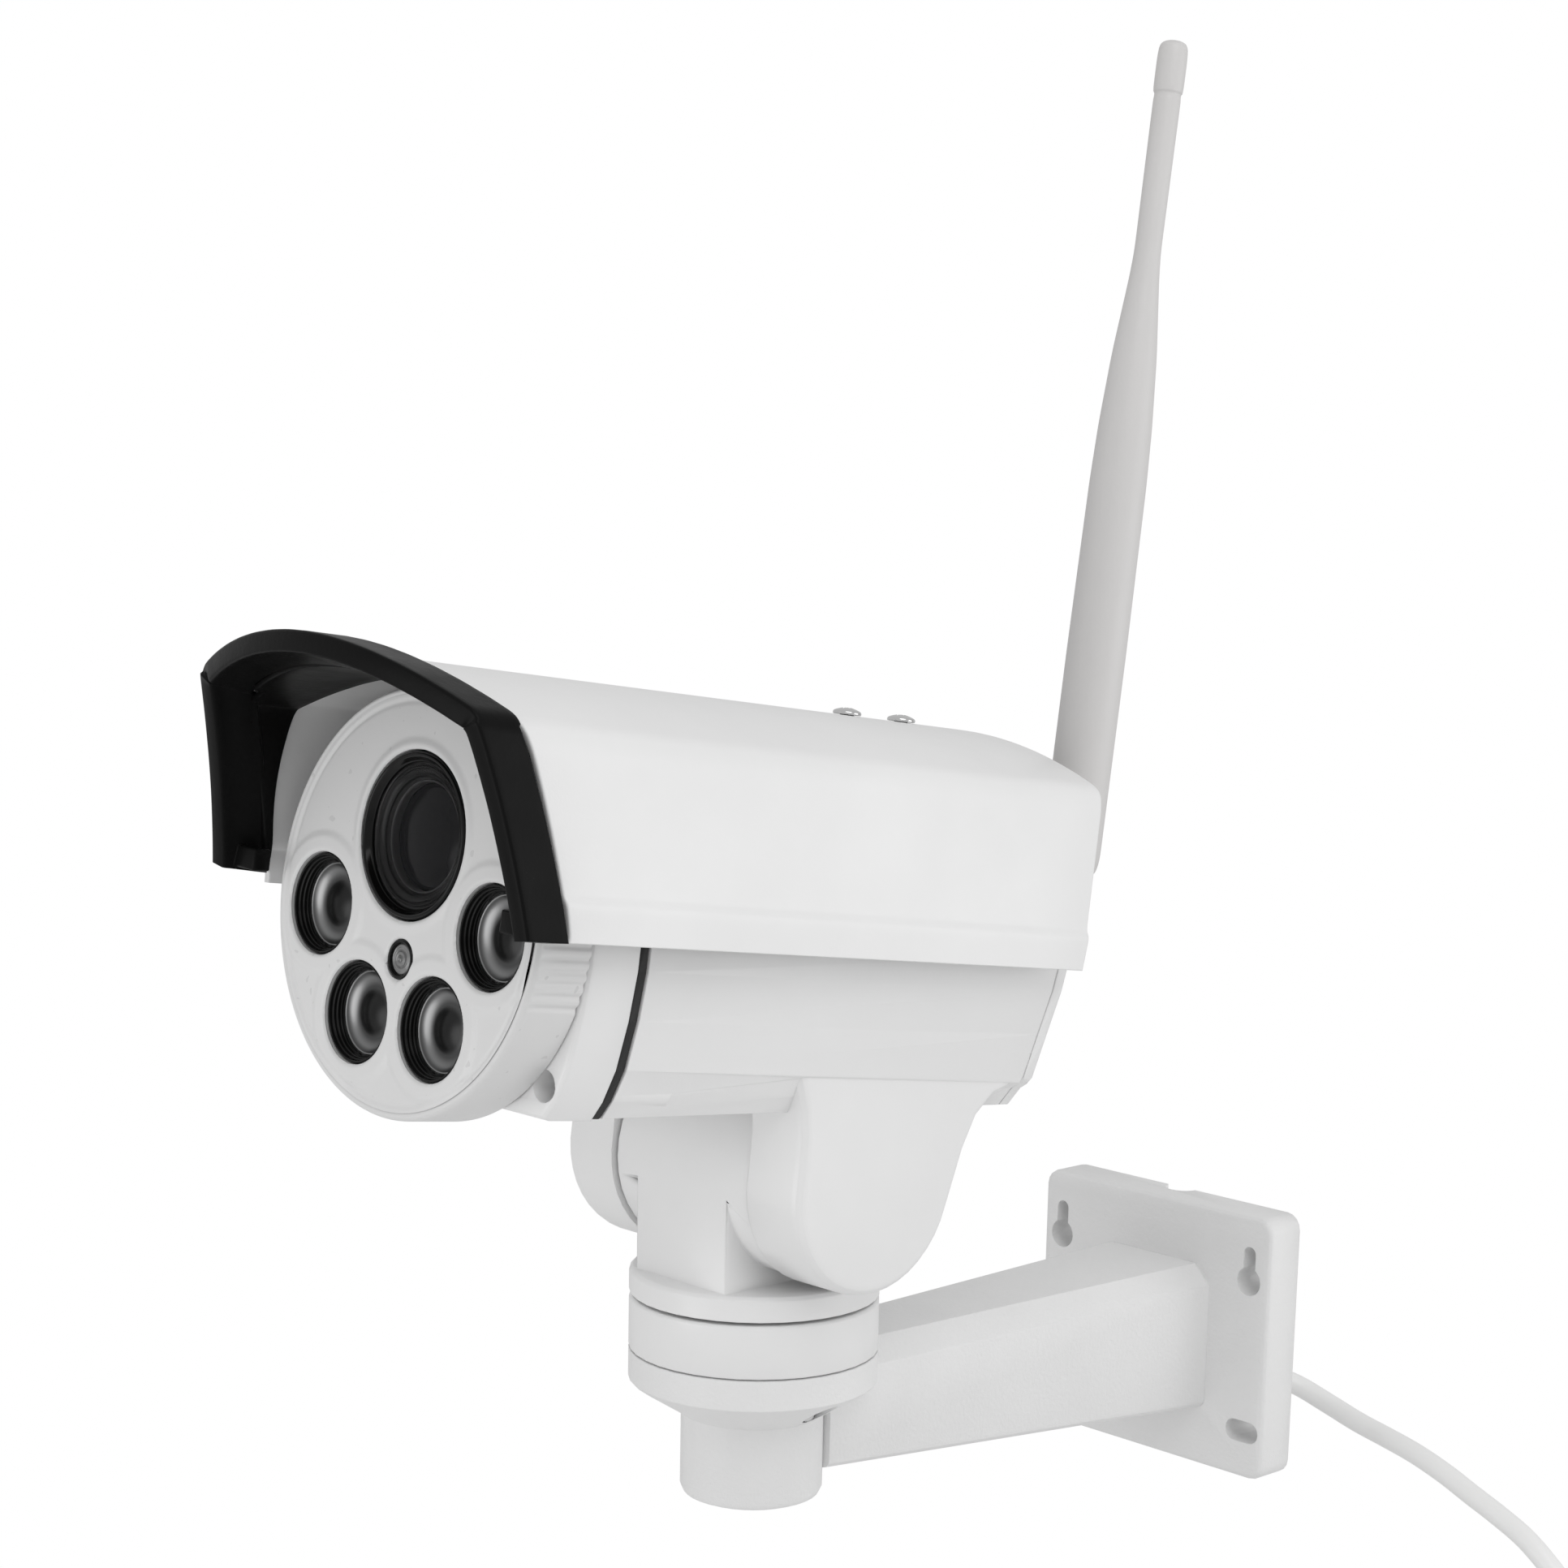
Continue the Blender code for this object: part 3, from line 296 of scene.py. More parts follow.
# collects the surfaces that make one piece
class Shape:
    def __init__(self):
        self.points = []
        self.faces = []
        self.kinds = []
        self.values = []
        self.count = 0

    def add(self, points, faces, kind=0, values=None):
        points = np.asarray(points, float).reshape(-1, 3)
        self.points.append(points)
        self.faces += [[int(v) + self.count for v in face] for face in faces]
        self.kinds += [kind] * len(faces)
        self.values.append(np.zeros(len(points)) if values is None else np.asarray(values, float).ravel())
        self.count += len(points)
        return self

    def grid(self, points, closeRows=False, closeColumns=False, kind=0, values=None):
        rows, columns = points.shape[:2]
        return self.add(points, gridFaces(rows, columns, closeRows, closeColumns), kind, values)

    def lathe(self, profile, steps, centre=(0.0, 0.0), along="y", kind=0, values=None):
        # (radius, height) pairs turned about a line through the centre: radius times cosine and sine
        profile = np.asarray(profile, float)
        angle = np.linspace(0, 2 * math.pi, steps, endpoint=False)
        r, h = profile[:, :1], profile[:, 1:2]
        across, other = r * np.cos(angle) + centre[0], r * np.sin(angle) + centre[1]
        high = h + 0 * angle
        order = {"y": (across, high, other), "z": (across, other, high), "x": (high, across, other)}[along]
        held = None if values is None else np.repeat(np.asarray(values, float)[:, None], steps, axis=1)
        return self.grid(np.stack(order, axis=-1), closeColumns=True, kind=kind, values=held)

    def block(self, centre, half, radius, steps=3, kind=0):
        # a box with every edge rounded: a rounded outline in X and Z, drawn in along a quarter circle
        # at both Y ends
        centre, half = np.array(centre, float), np.array(half, float)
        corner = np.linspace(0, math.pi / 2, steps + 1)
        turns = np.concatenate([corner + q * math.pi / 2 for q in range(4)])
        signs = np.repeat(((1, 1), (-1, 1), (-1, -1), (1, -1)), steps + 1, axis=0)
        rings = []
        levels = [(-half[1] + radius * (1 - math.sin(a)), radius * math.cos(a)) for a in corner[::-1]]
        levels += [(-y, r) for y, r in reversed(levels)]
        flat = half - radius
        for y, r in levels:
            rings.append(np.stack((signs[:, 0] * flat[0] + r * np.cos(turns), np.full(len(turns), y),
                                   signs[:, 1] * flat[2] + r * np.sin(turns)), axis=1))
        rings = np.array(rings) + centre
        self.grid(rings, closeColumns=True, kind=kind)
        for ring in (rings[0], rings[-1]):
            self.add(ring, [list(range(len(ring)))], kind)
        return self


def finishPiece(name, mesh, materials, body, replaced=(), sharp=40.0, weld=2e-6):
    bm = bmesh.new()
    bm.from_mesh(mesh)
    bmesh.ops.remove_doubles(bm, verts=bm.verts, dist=weld)
    bmesh.ops.dissolve_degenerate(bm, edges=bm.edges, dist=1e-7)
    bmesh.ops.recalc_face_normals(bm, faces=bm.faces)
    bm.to_mesh(mesh)
    bm.free()
    for material in materials:
        mesh.materials.append(material)
    mesh.shade_smooth()
    mesh.set_sharp_from_angle(angle=math.radians(sharp))
    piece = bpy.data.objects.new(name, mesh)
    bpy.context.scene.collection.objects.link(piece)
    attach(piece, body)
    if replaced:
        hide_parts(*replaced)
    return piece


def makePiece(name, shape, materials, body, replaced=(), onHead=True, sharp=40.0):
    points = np.concatenate(shape.points)
    if onHead:
        points = toWorld(points)
    mesh = bpy.data.meshes.new(name)
    mesh.from_pydata(points.tolist(), [], shape.faces)
    mesh.polygons.foreach_set("material_index", shape.kinds)
    held = mesh.attributes.new("share", "FLOAT", "POINT")
    held.data.foreach_set("value", np.concatenate(shape.values))
    return finishPiece(name, mesh, materials, body, replaced, sharp)


def softPath(corners, reach, steps=4):
    # each inner corner becomes a quadratic curve that starts and ends within reach of it
    corners = np.array(corners, float)
    path = [corners[0]]
    for before, corner, after in zip(corners, corners[1:], corners[2:]):
        start = corner + (before - corner) * min(0.45, reach / max(np.linalg.norm(before - corner), 1e-9))
        end = corner + (after - corner) * min(0.45, reach / max(np.linalg.norm(after - corner), 1e-9))
        for t in np.linspace(0, 1, steps + 1):
            path.append((1 - t) ** 2 * start + 2 * t * (1 - t) * corner + t ** 2 * end)
    path.append(corners[-1])
    return np.array(path)


def evenPath(path, count):
    lengths = np.concatenate(([0], np.cumsum(np.linalg.norm(np.diff(path, axis=0), axis=1))))
    marks = np.linspace(0, lengths[-1], count)
    return np.stack([np.interp(marks, lengths, path[:, k]) for k in range(path.shape[1])], axis=1)


def smoothstep(value):
    value = np.clip(value, 0, 1)
    return value * value * (3 - 2 * value)


# the cable, its coil, the two tails and their ends
cableSettings = {"diameter": 0.0055, "networkDiameter": 0.0044, "powerDiameter": 0.0036, "turns": 2,
                 "coilRadius": 0.0303, "pitch": 0.0057}
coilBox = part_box("cable_coil")
coilCentre = (coilBox[0] + coilBox[1]) / 2
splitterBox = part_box("cable_splitter")
splitterCentre = (splitterBox[0] + splitterBox[1]) / 2
cableRoute = ((0.0, 0.0203, -0.0210), (0.0, 0.0280, -0.0210), (0.0012, 0.0345, -0.0218),
              (0.0085, 0.0405, -0.0250), (0.0180, 0.0425, -0.0285), (0.0280, 0.0420, -0.0309),
              (0.0380, 0.0410, -0.0324), (0.0480, 0.0400, -0.0341), (0.0580, 0.0390, -0.0367),
              (0.0670, 0.0380, -0.0397), (0.0760, 0.0370, -0.0426), (0.0850, 0.0360, -0.0461),
              (0.0935, 0.0352, -0.0515), (0.1015, 0.0350, -0.0585), (0.1078, 0.0350, -0.0667),
              (0.1110, 0.0350, -0.0753), (0.1120, 0.0350, -0.0841))


def catmull(points, steps=8):
    # points on the Catmull-Rom curve through the given ones
    knots = [np.array(p, float) for p in points]
    knots = [2 * knots[0] - knots[1]] + knots + [2 * knots[-1] - knots[-2]]
    path = []
    for a, b, c, d in zip(knots, knots[1:], knots[2:], knots[3:]):
        for t in np.linspace(0, 1, steps, endpoint=False):
            path.append(0.5 * (2 * b + (c - a) * t + (2 * a - 5 * b + 4 * c - d) * t ** 2
                               + (3 * b - a - 3 * c + d) * t ** 3))
    path.append(knots[-2])
    return np.array(path)


def makeCurve(name, path, diameter, material, body, replaced):
    curve = bpy.data.curves.new(name, "CURVE")
    curve.dimensions = "3D"
    curve.bevel_depth = diameter / 2
    curve.bevel_resolution = 5
    curve.use_fill_caps = True
    spline = curve.splines.new("POLY")
    spline.points.add(len(path) - 1)
    for point, place in zip(spline.points, path):
        point.co = (*place, 1.0)
    spline.use_smooth = True
    curve.materials.append(material)
    piece = bpy.data.objects.new(name, curve)
    bpy.context.scene.collection.objects.link(piece)
    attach(piece, body)
    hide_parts(*replaced)
    return piece


def pathLength(path):
    return float(np.linalg.norm(np.diff(path, axis=0), axis=1).sum())


def makeCableRun():
    # the seen stretch, then a helix that steps one pitch in Y with each turn, then straight down
    settings = cableSettings
    turn = np.linspace(0, settings["turns"], 28 * settings["turns"] + 1)
    angle = 2 * math.pi * turn
    start = coilCentre.y - settings["pitch"] * settings["turns"] / 2
    coil = np.stack((coilCentre.x + settings["coilRadius"] * np.cos(angle), start + settings["pitch"] * turn,
                     coilCentre.z - settings["coilRadius"] * np.sin(angle)), axis=1)
    entry = catmull([*cableRoute, (cableRoute[-1][0], 0.0325, -0.0960), tuple(coil[0])], 6)
    drop = coil[-1][2] - splitterBox[1].z
    fall = np.linspace(0, 1, 9)[1:]
    shift = smoothstep(fall)
    exitPath = np.stack((coil[-1][0] + (splitterCentre.x - coil[-1][0]) * shift,
                         coil[-1][1] + (splitterCentre.y - coil[-1][1]) * shift,
                         coil[-1][2] - drop * fall), axis=1)
    return np.concatenate((entry[:-1], coil, exitPath))


cablePath = makeCableRun()
cablePiece = makeCurve("cameraCable", cablePath, cableSettings["diameter"], finishes["cable"], "bracket",
                       ("cable", "cable_coil"))

splitter = Shape()
half = (splitterBox[1] - splitterBox[0]) / 2
splitter.block(splitterCentre, half - Vector((0.0004, 0.0004, 0.0)), 0.0024, 4)
for share in (-0.55, -0.30, -0.05, 0.20, 0.45):
    splitter.block(splitterCentre + Vector((0, 0, share * half.z)), (half.x, half.y, 0.0011), 0.0009, 2)
splitterPiece = makePiece("cableSplitter", splitter, [finishes["cable"]], "bracket",
                          ("cable_splitter",), onHead=False)


def makeTail(name, diameter, endNode, side):
    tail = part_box(name + "_tail")
    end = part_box(endNode)
    endMiddle = (end[0] + end[1]) / 2
    low = splitterBox[0].z - 0.0002
    drop = low - end[1].z
    begin = (splitterCentre.x + side * 0.0035, splitterCentre.y, low)
    finish = (endMiddle.x, endMiddle.y, end[1].z)
    knots = [begin, (begin[0] + side * 0.0005, begin[1], low - 0.25 * drop),
             ((begin[0] + finish[0]) / 2, begin[1], low - 0.5 * drop),
             (finish[0] - side * 0.0004, begin[1], low - 0.78 * drop), finish]
    return makeCurve(name + "TailCord", catmull(knots, 6), diameter, finishes["cable"], "bracket",
                     (name + "_tail",))


def makeNetworkSocket():
    low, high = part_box("network_socket")
    middle = (low + high) / 2
    half = (high - low) / 2
    port = {"halfX": 0.0059, "halfY": 0.0034, "depth": 0.0150}
    shape = Shape()
    # the shell: rounded outline rings from the top down, then into the port
    corner = np.linspace(0, math.pi / 2, 5)
    turns = np.concatenate([corner + q * math.pi / 2 for q in range(4)])
    signs = np.repeat(((1, 1), (-1, 1), (-1, -1), (1, -1)), 5, axis=0)

    def outline(halfX, halfY, radius, z):
        return np.stack((middle.x + signs[:, 0] * (halfX - radius) + radius * np.cos(turns),
                         middle.y + signs[:, 1] * (halfY - radius) + radius * np.sin(turns),
                         np.full(len(turns), z)), axis=1)

    rings = [outline(0.0028, 0.0028, 0.0026, high.z), outline(0.0034, 0.0034, 0.0030, high.z - 0.0018),
             outline(0.0050, 0.0046, 0.0030, high.z - 0.0050)]
    rings += [outline(half.x - inset, half.y - inset, 0.0018, high.z - drop)
              for drop, inset in ((0.0065, 0.0012), (0.0072, 0.0), (0.0120, 0.0), (0.0124, 0.0005),
                                  (0.0134, 0.0005), (0.0138, 0.0), (0.0288, 0.0), (0.0300, 0.0010))]
    rings += [outline(port["halfX"] + 0.0003, port["halfY"] + 0.0003, 0.0006, low.z),
              outline(port["halfX"], port["halfY"], 0.0004, low.z + 0.0004),
              outline(port["halfX"], port["halfY"], 0.0004, low.z + port["depth"])]
    rings = np.array(rings)
    shape.grid(rings, closeColumns=True)
    for ring in (rings[0], rings[-1]):
        shape.add(ring, [list(range(len(ring)))])
    for pin in range(8):
        place = (middle.x + (pin - 3.5) * 0.00102, middle.y - 0.0022, low.z + 0.0085)
        shape.block(place, (0.00022, 0.0005, 0.0040), 0.00015, 1, kind=1)
    return makePiece("networkSocket", shape, [finishes["black"], finishes["gold"]], "bracket",
                     ("network_socket",), onHead=False)


def makePowerJack():
    low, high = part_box("power_jack")
    x, y = (low.x + high.x) / 2, (low.y + high.y) / 2
    top = high.z
    corners = [(0, top), (0.0022, top), (0.0027, top - 0.0015), (0.0047, top - 0.0075)]
    for rib in range(4):
        drop = 0.0088 + rib * 0.0022
        corners += [(0.0050, top - drop), (0.0050, top - drop - 0.0012), (0.0046, top - drop - 0.0014),
                    (0.0046, top - drop - 0.0020)]
    corners += [(0.0050, top - 0.0180), (0.0050, low.z + 0.0004), (0.0046, low.z), (0.0031, low.z),
                (0.0030, low.z + 0.0003), (0.0030, low.z + 0.0108), (0.0011, low.z + 0.0108)]
    shape = Shape().lathe(softPath(corners, 0.0003, 2), 40, (x, y), "z")
    pin = [(0.0011, low.z + 0.0108), (0.0010, low.z + 0.0022), (0.0006, low.z + 0.0016), (0, low.z + 0.0015)]
    shape.lathe(pin, 40, (x, y), "z", kind=1)
    return makePiece("powerJack", shape, [finishes["black"], finishes["steel"]], "bracket",
                     ("power_jack",), onHead=False)


networkTail = makeTail("network", cableSettings["networkDiameter"], "network_socket", -1)
powerTail = makeTail("power", cableSettings["powerDiameter"], "power_jack", 1)
networkPiece = makeNetworkSocket()
jackPiece = makePowerJack()


def makeCoilTie():
    # a strap about the two turns: a circle pulled apart in Y by one turn's width
    x, y, z = coilCentre.x - cableSettings["coilRadius"], coilCentre.y, coilCentre.z
    thick = 0.0009
    shape = Shape()
    angle = np.linspace(0, 2 * math.pi, 48, endpoint=False)
    rings = []
    for out, height in ((0, -0.0030), (thick, -0.0030), (thick, 0.0030), (0, 0.0030)):
        reach = 0.0030 + out
        apart = 0.00285 * np.sign(np.sin(angle))
        ring = np.stack((x + reach * np.cos(angle), y + apart + reach * np.sin(angle),
                         np.full(48, z + height)), axis=1)
        rings.append(ring)
    shape.grid(np.array(rings), closeRows=True, closeColumns=True)
    shape.block((x - 0.0042, y, z), (0.0009, 0.0032, 0.0038), 0.0006, 2)
    return makePiece("coilTie", shape, [finishes["tie"]], "bracket", onHead=False)


coilTie = makeCoilTie()
for tail, diameter, end in ((networkTail, cableSettings["networkDiameter"], networkPiece),
                            (powerTail, cableSettings["powerDiameter"], jackPiece)):
    points = np.array([point.co[:3] for point in tail.data.splines[0].points])
print("cords made", round(pathLength(cablePath), 3))


# bodies that keep their shape and get softer edges
def softened(node, name, finish, edge, segments=2, angle=28.0):
    # a merged copy of a node's mesh with its sharp edges rounded off
    source = frame["nodes"][node]
    mesh = source.data.copy()
    mesh.materials.clear()
    piece = finishPiece(name, mesh, [finishes[finish]], source["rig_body"], (node,), angle)
    mesh.polygons.foreach_set("material_index", [0] * len(mesh.polygons))
    bevel = piece.modifiers.new("edges", "BEVEL")
    bevel.width = edge
    bevel.segments = segments
    bevel.limit_method = "ANGLE"
    bevel.angle_limit = math.radians(angle)
    bevel.harden_normals = True
    bevel.use_clamp_overlap = True
    return piece


softBodies = (
    ("wall_bracket", "wallBracket", "cast", "cast_paint", 0.0005),
    ("pan_base", "panBase", "paint", "white_paint", 0.0003),
    ("neck_housing", "neckBody", "paint", "white_paint", 0.0005),
    ("camera_housing", "housingBody", "paint", "white_paint", 0.0005),
    ("front_flange", "frontFlange", "paint", "white_paint", 0.0004),
    ("rear_cover", "rearCover", "paint", "white_paint", 0.0005),
    ("antenna_sleeve", "antennaSleeve", "antenna", "antenna_plastic", 0.0003),
    ("front_gasket", "frontGasket", "rubber", "rubber", 0.0003),
)
for node, name, finish, slotName, edge in softBodies:
    softened(node, name, finish, edge)

keptFinishes = {
    "steel": ("set_screw_left", "set_screw_right", "pan_bearing", "pan_shaft", "pan_motor", "tilt_motor",
              "tilt_shaft", "flange_screw_1", "flange_screw_2", "flange_screw_3", "flange_screw_4"),
    "brass": ("pan_pinion", "tilt_pinion", "tilt_bush_left", "tilt_bush_right", "antenna_socket"),
    "gear": ("pan_ring_gear", "tilt_gear"),
    "board": ("sensor_board", "lamp_board", "main_board"),
    "black": ("lens_barrel",),
    "glass": ("focus_group",),
    "rubber": ("cable_gland",),
}
for finish, nodes in keptFinishes.items():
    for node in nodes:
        data = frame["nodes"][node].data
        data.materials.clear()
        data.materials.append(finishes[finish])
        data.polygons.foreach_set("material_index", [0] * len(data.polygons))
print("bodies softened")

# the front bezel
face = {
    "radius": 0.0432,
    "depth": 0.0139,
    "gridRadius": 0.0416,
    "cell": 0.00042,        # grid step
    "plane": 0.0006,        # Y of the flat part
    "wallDepth": 0.0028,    # how far back the openings' walls go
    "collarSoft": 0.0018,   # width of a collar's slope
    "edgeDrop": 0.0005,     # rounding of an opening's edge
    "edgeReach": 0.0007,
    "grooveRadius": 0.0402,
    "grooveDepth": 0.00022,
    "grooveWidth": 0.00035,
    "rimRise": 0.00015,
    "gripDepth": 0.00045,
    "gripPitch": 3.4,       # degrees
    "gripRuns": ((90, 15), (-12, 9), (192, 9)),    # middle and half reach in degrees
}
lensZ, sensorZ = 0.0136, -0.0111
lampPlaces = ((-0.0280, -0.0032), (-0.0124, -0.0235), (0.0124, -0.0235), (0.0280, -0.0032))
# each opening: x, z, radius, and its collar's width and rise
holes = [(0.0, lensZ, 0.0171, 0.0018, 0.0004), (0.0, sensorZ, 0.0041, 0.0008, 0.0001)]
holes += [(x, z, 0.0106, 0.0038, 0.0005) for x, z in lampPlaces]


def faceHeight(x, z):
    # how far the face stands forward: a raised collar about each opening whose edge falls off as a square,
    # a bell-shaped groove inside the rim and a small step up to the rim
    spread = np.hypot(x, z)
    soft = face["collarSoft"]
    collar = np.zeros_like(x)
    rolled = np.zeros_like(x)
    for cx, cz, radius, width, rise in holes:
        away = np.hypot(x - cx, z - cz) - radius
        collar = np.maximum(collar, rise * (1 - smoothstep((away - width) / soft + 0.5)))
        rolled = np.maximum(rolled, face["edgeDrop"] * np.clip(1 - away / face["edgeReach"], 0, 1) ** 2)
    height = collar - rolled
    height -= face["grooveDepth"] * np.exp(-((spread - face["grooveRadius"]) / face["grooveWidth"]) ** 2)
    height += face["rimRise"] * smoothstep((spread - face["grooveRadius"] - 0.0003) / 0.0006)
    return height


def makeBezel():
    count = int(2 * face["gridRadius"] / face["cell"])
    u, v = np.meshgrid(np.linspace(-1, 1, count), np.linspace(-1, 1, count), indexing="ij")
    # a square grid drawn out to a disc
    x = face["gridRadius"] * u * np.sqrt(1 - v * v / 2)
    z = face["gridRadius"] * v * np.sqrt(1 - u * u / 2)
    inside = np.zeros(x.shape, bool)
    for cx, cz, radius, _, _ in holes:
        away = np.hypot(x - cx, z - cz)
        within = away < radius
        near = within | (away < radius + 0.25 * face["cell"])
        scale = np.where(near, radius / np.maximum(away, 1e-9), 1.0)
        x, z = np.where(near, cx + (x - cx) * scale, x), np.where(near, cz + (z - cz) * scale, z)
        inside |= within
    quads = gridFaces(count, count)
    quads = quads[~inside.ravel()[quads].all(axis=1)]
    y = face["plane"] - faceHeight(x, z)
    used = np.unique(quads)
    index = np.full(count * count, -1)
    index[used] = np.arange(len(used))
    points = np.stack((x.ravel(), y.ravel(), z.ravel()), axis=1)[used]
    shape = Shape().add(points, index[quads])
    angle = np.linspace(0, 2 * math.pi, 97)[:-1]
    for cx, cz, radius, _, _ in holes:
        hx, hz = cx + radius * np.cos(angle), cz + radius * np.sin(angle)
        edge = face["plane"] - faceHeight(hx, hz)
        rows = [np.stack((hx, edge + (face["wallDepth"] - edge) * t, hz), axis=1) for t in (0, 0.2, 1)]
        shape.grid(np.array(rows), closeColumns=True)
    # the rim and the side, with three short runs of grip grooves
    turn = np.linspace(0, 2 * math.pi, 1081)[:-1]
    grip = np.zeros_like(turn)
    for middle, reach in face["gripRuns"]:
        away = (np.degrees(turn) - middle + 180) % 360 - 180
        grip = np.maximum(grip, (1 - smoothstep((np.abs(away) - reach) / 1.2))
                          * (0.5 - 0.5 * np.cos(2 * math.pi * away / face["gripPitch"])) ** 1.5)
    outer, depth = face["radius"], face["depth"]
    side = softPath([(outer - 0.0018, 0.0007), (outer - 0.0008, 0.0002), (outer, 0.0012), (outer, 0.0060),
                     (outer, depth - 0.0003), (outer - 0.0002, depth), (outer - 0.0034, depth),
                     (outer - 0.0036, 0.0040)], 0.0007, 4)
    rows = []
    for radius, y0 in side:
        sink = face["gripDepth"] * grip * smoothstep((y0 - 0.0012) / 0.0012) * (radius > outer - 0.0007)
        rows.append(np.stack(((radius - sink) * np.cos(turn), np.full(len(turn), y0),
                              (radius - sink) * np.sin(turn)), axis=1))
    shape.grid(np.array(rows), closeColumns=True)
    return makePiece("frontBezel", shape, [finishes["face"]], "head",
                     ("front_bezel",), sharp=50)


makeBezel()
print("bezel made")

# the lens
# (radius, depth) from the outside to the middle
lens = {
    "trim": [(0.01675, 0.0030), (0.01675, 0.0008), (0.0163, 0.0003), (0.0157, 0.0004), (0.0150, 0.0016),
             (0.0148, 0.0017), (0.0147, 0.0024), (0.0141, 0.0025), (0.0139, 0.0022), (0.0136, 0.0022),
             (0.0134, 0.0027), (0.0126, 0.0031), (0.0124, 0.0028), (0.0121, 0.0028), (0.0119, 0.0035),
             (0.0113, 0.0039)],
    "innerRim": [(0.0113, 0.0039), (0.0112, 0.0037), (0.01105, 0.0037), (0.0109, 0.0041), (0.0109, 0.0056)],
    "front": [(0, 0.0040), (0.0040, 0.0042), (0.0075, 0.0046), (0.0100, 0.0051), (0.0107, 0.0055),
              (0.0108, 0.0062), (0.0108, 0.0075), (0, 0.0075)],
    "pane": [(0, 0.0016), (0.0142, 0.0016), (0.0145, 0.0018), (0.0145, 0.0021), (0.0142, 0.0023),
             (0, 0.0023)],
}
lensCentre = (0, lensZ)
lensShape = Shape().lathe(softPath(lens["trim"], 0.00025, 3), 128, lensCentre)
lensShape.lathe(softPath(lens["innerRim"], 0.0001, 2), 128, lensCentre, kind=1)
makePiece("lensTrimRing", lensShape, [finishes["gloss"], finishes["rim"]], "head",
          ("lens_trim",), sharp=60)
makePiece("frontLens", Shape().lathe(softPath(lens["front"], 0.0006, 4), 96, lensCentre),
          [finishes["glass"]], "head", ("front_element",), sharp=50)
makePiece("lensWindow", Shape().lathe(softPath(lens["pane"], 0.0002, 2), 96, lensCentre),
          [finishes["window"]], "head", ("lens_window",), sharp=50)


# the four lamps and the light sensor
def shadeByShare(name, stops, roughness, metallic, coat=0.0):
    # the colour runs from the middle to the rim, on the mesh's own attribute
    made = bpy.data.materials.new(name)
    made.use_nodes = True
    tree = made.node_tree
    shader = tree.nodes["Principled BSDF"]
    held = tree.nodes.new("ShaderNodeAttribute")
    held.attribute_name = "share"
    ramp = tree.nodes.new("ShaderNodeValToRGB")
    ramp.color_ramp.interpolation = "EASE"
    marks = ramp.color_ramp.elements
    while len(marks) < len(stops):
        marks.new(0.5)
    for mark, (place, level) in zip(marks, stops):
        mark.position = place
        mark.color = (level, level * 1.005, level * 1.01, 1.0)
    tree.links.new(held.outputs["Fac"], ramp.inputs["Fac"])
    tone = addGroup(tree, toneGroup, {"Amount": 0.15, "Specks": 0.0})
    tree.links.new(ramp.outputs["Color"], tone.inputs["Color"])
    tree.links.new(tone.outputs["Color"], shader.inputs["Base Color"])
    shader.inputs["Roughness"].default_value = roughness
    shader.inputs["Metallic"].default_value = metallic
    shader.inputs["Coat Weight"].default_value = coat
    return made


# colour stops from the middle to the rim, and (radius, depth) profiles
lampDesign = {
    # lamp dish: dark in the middle, with a bright band near the rim and a bright lip that are painted
    # highlight, standing in for the reflector's reflections
    "stops": [(0.0, 0.02), (0.42, 0.03), (0.60, 0.09), (0.82, 0.26), (0.93, 0.10), (1.0, 0.7)],
    "ring": [(0.0103, 0.0060), (0.0103, 0.0012), (0.0101, 0.0009), (0.0098, 0.0010), (0.0097, 0.0018),
             (0.0094, 0.0019), (0.0094, 0.0026), (0.0091, 0.0027), (0.0091, 0.0034), (0.0089, 0.0035),
             (0.0089, 0.0042), (0.0087, 0.0043)],
    "dish": [(0.0087, 0.0043), (0.0084, 0.0041), (0.0081, 0.0044), (0.0073, 0.0049), (0.0062, 0.0053),
             (0.0050, 0.0055), (0.0040, 0.0053), (0.0028, 0.0049), (0.0014, 0.0046), (0, 0.0045)],
}
sensorDesign = {
    "stops": [(0.0, 0.30), (0.12, 0.05), (0.35, 0.16), (0.55, 0.07), (0.75, 0.20), (1.0, 0.03)],
    "ring": [(0.0040, 0.0030), (0.0040, 0.0009), (0.0038, 0.0006), (0.0034, 0.0007), (0.0032, 0.0014)],
    "dome": [(0.0032, 0.0014), (0.0029, 0.0011), (0.0026, 0.0013), (0.0022, 0.0010), (0.0018, 0.0012),
             (0.0014, 0.0008), (0.0010, 0.0010), (0.0006, 0.0006), (0, 0.0005)],
}
# the lamp dish's base colour carries painted highlight rings
dishPaintedHighlight = shadeByShare("lampDishPaintedHighlight", lampDesign["stops"], 0.30, 0.9)
sensorFinish = shadeByShare("sensorDome", sensorDesign["stops"], 0.15, 0.0, 1.0)
for number, (x, z) in enumerate(lampPlaces, 1):
    lampShape = Shape().lathe(softPath(lampDesign["ring"], 0.00015, 2), 72, (x, z))
    bowl = softPath(lampDesign["dish"], 0.0006, 4)
    # the share from the middle to the rim places the dish's painted highlight rings
    lampShape.lathe(bowl, 72, (x, z), kind=1, values=bowl[:, 0] / bowl[0, 0])
    makePiece(f"infraredLamp{number}", lampShape, [finishes["gloss"], dishPaintedHighlight], "head",
              (f"ir_lamp_{number}",), sharp=60)
sensor = Shape().lathe(softPath(sensorDesign["ring"], 0.0001, 2), 48, (0, sensorZ))
dome = softPath(sensorDesign["dome"], 0.0002, 3)
sensor.lathe(dome, 48, (0, sensorZ), kind=1, values=dome[:, 0] / dome[0, 0])
makePiece("lightSensor", sensor, [finishes["gloss"], sensorFinish], "head",
          ("light_sensor",), sharp=60)
print("lens and lamps made")

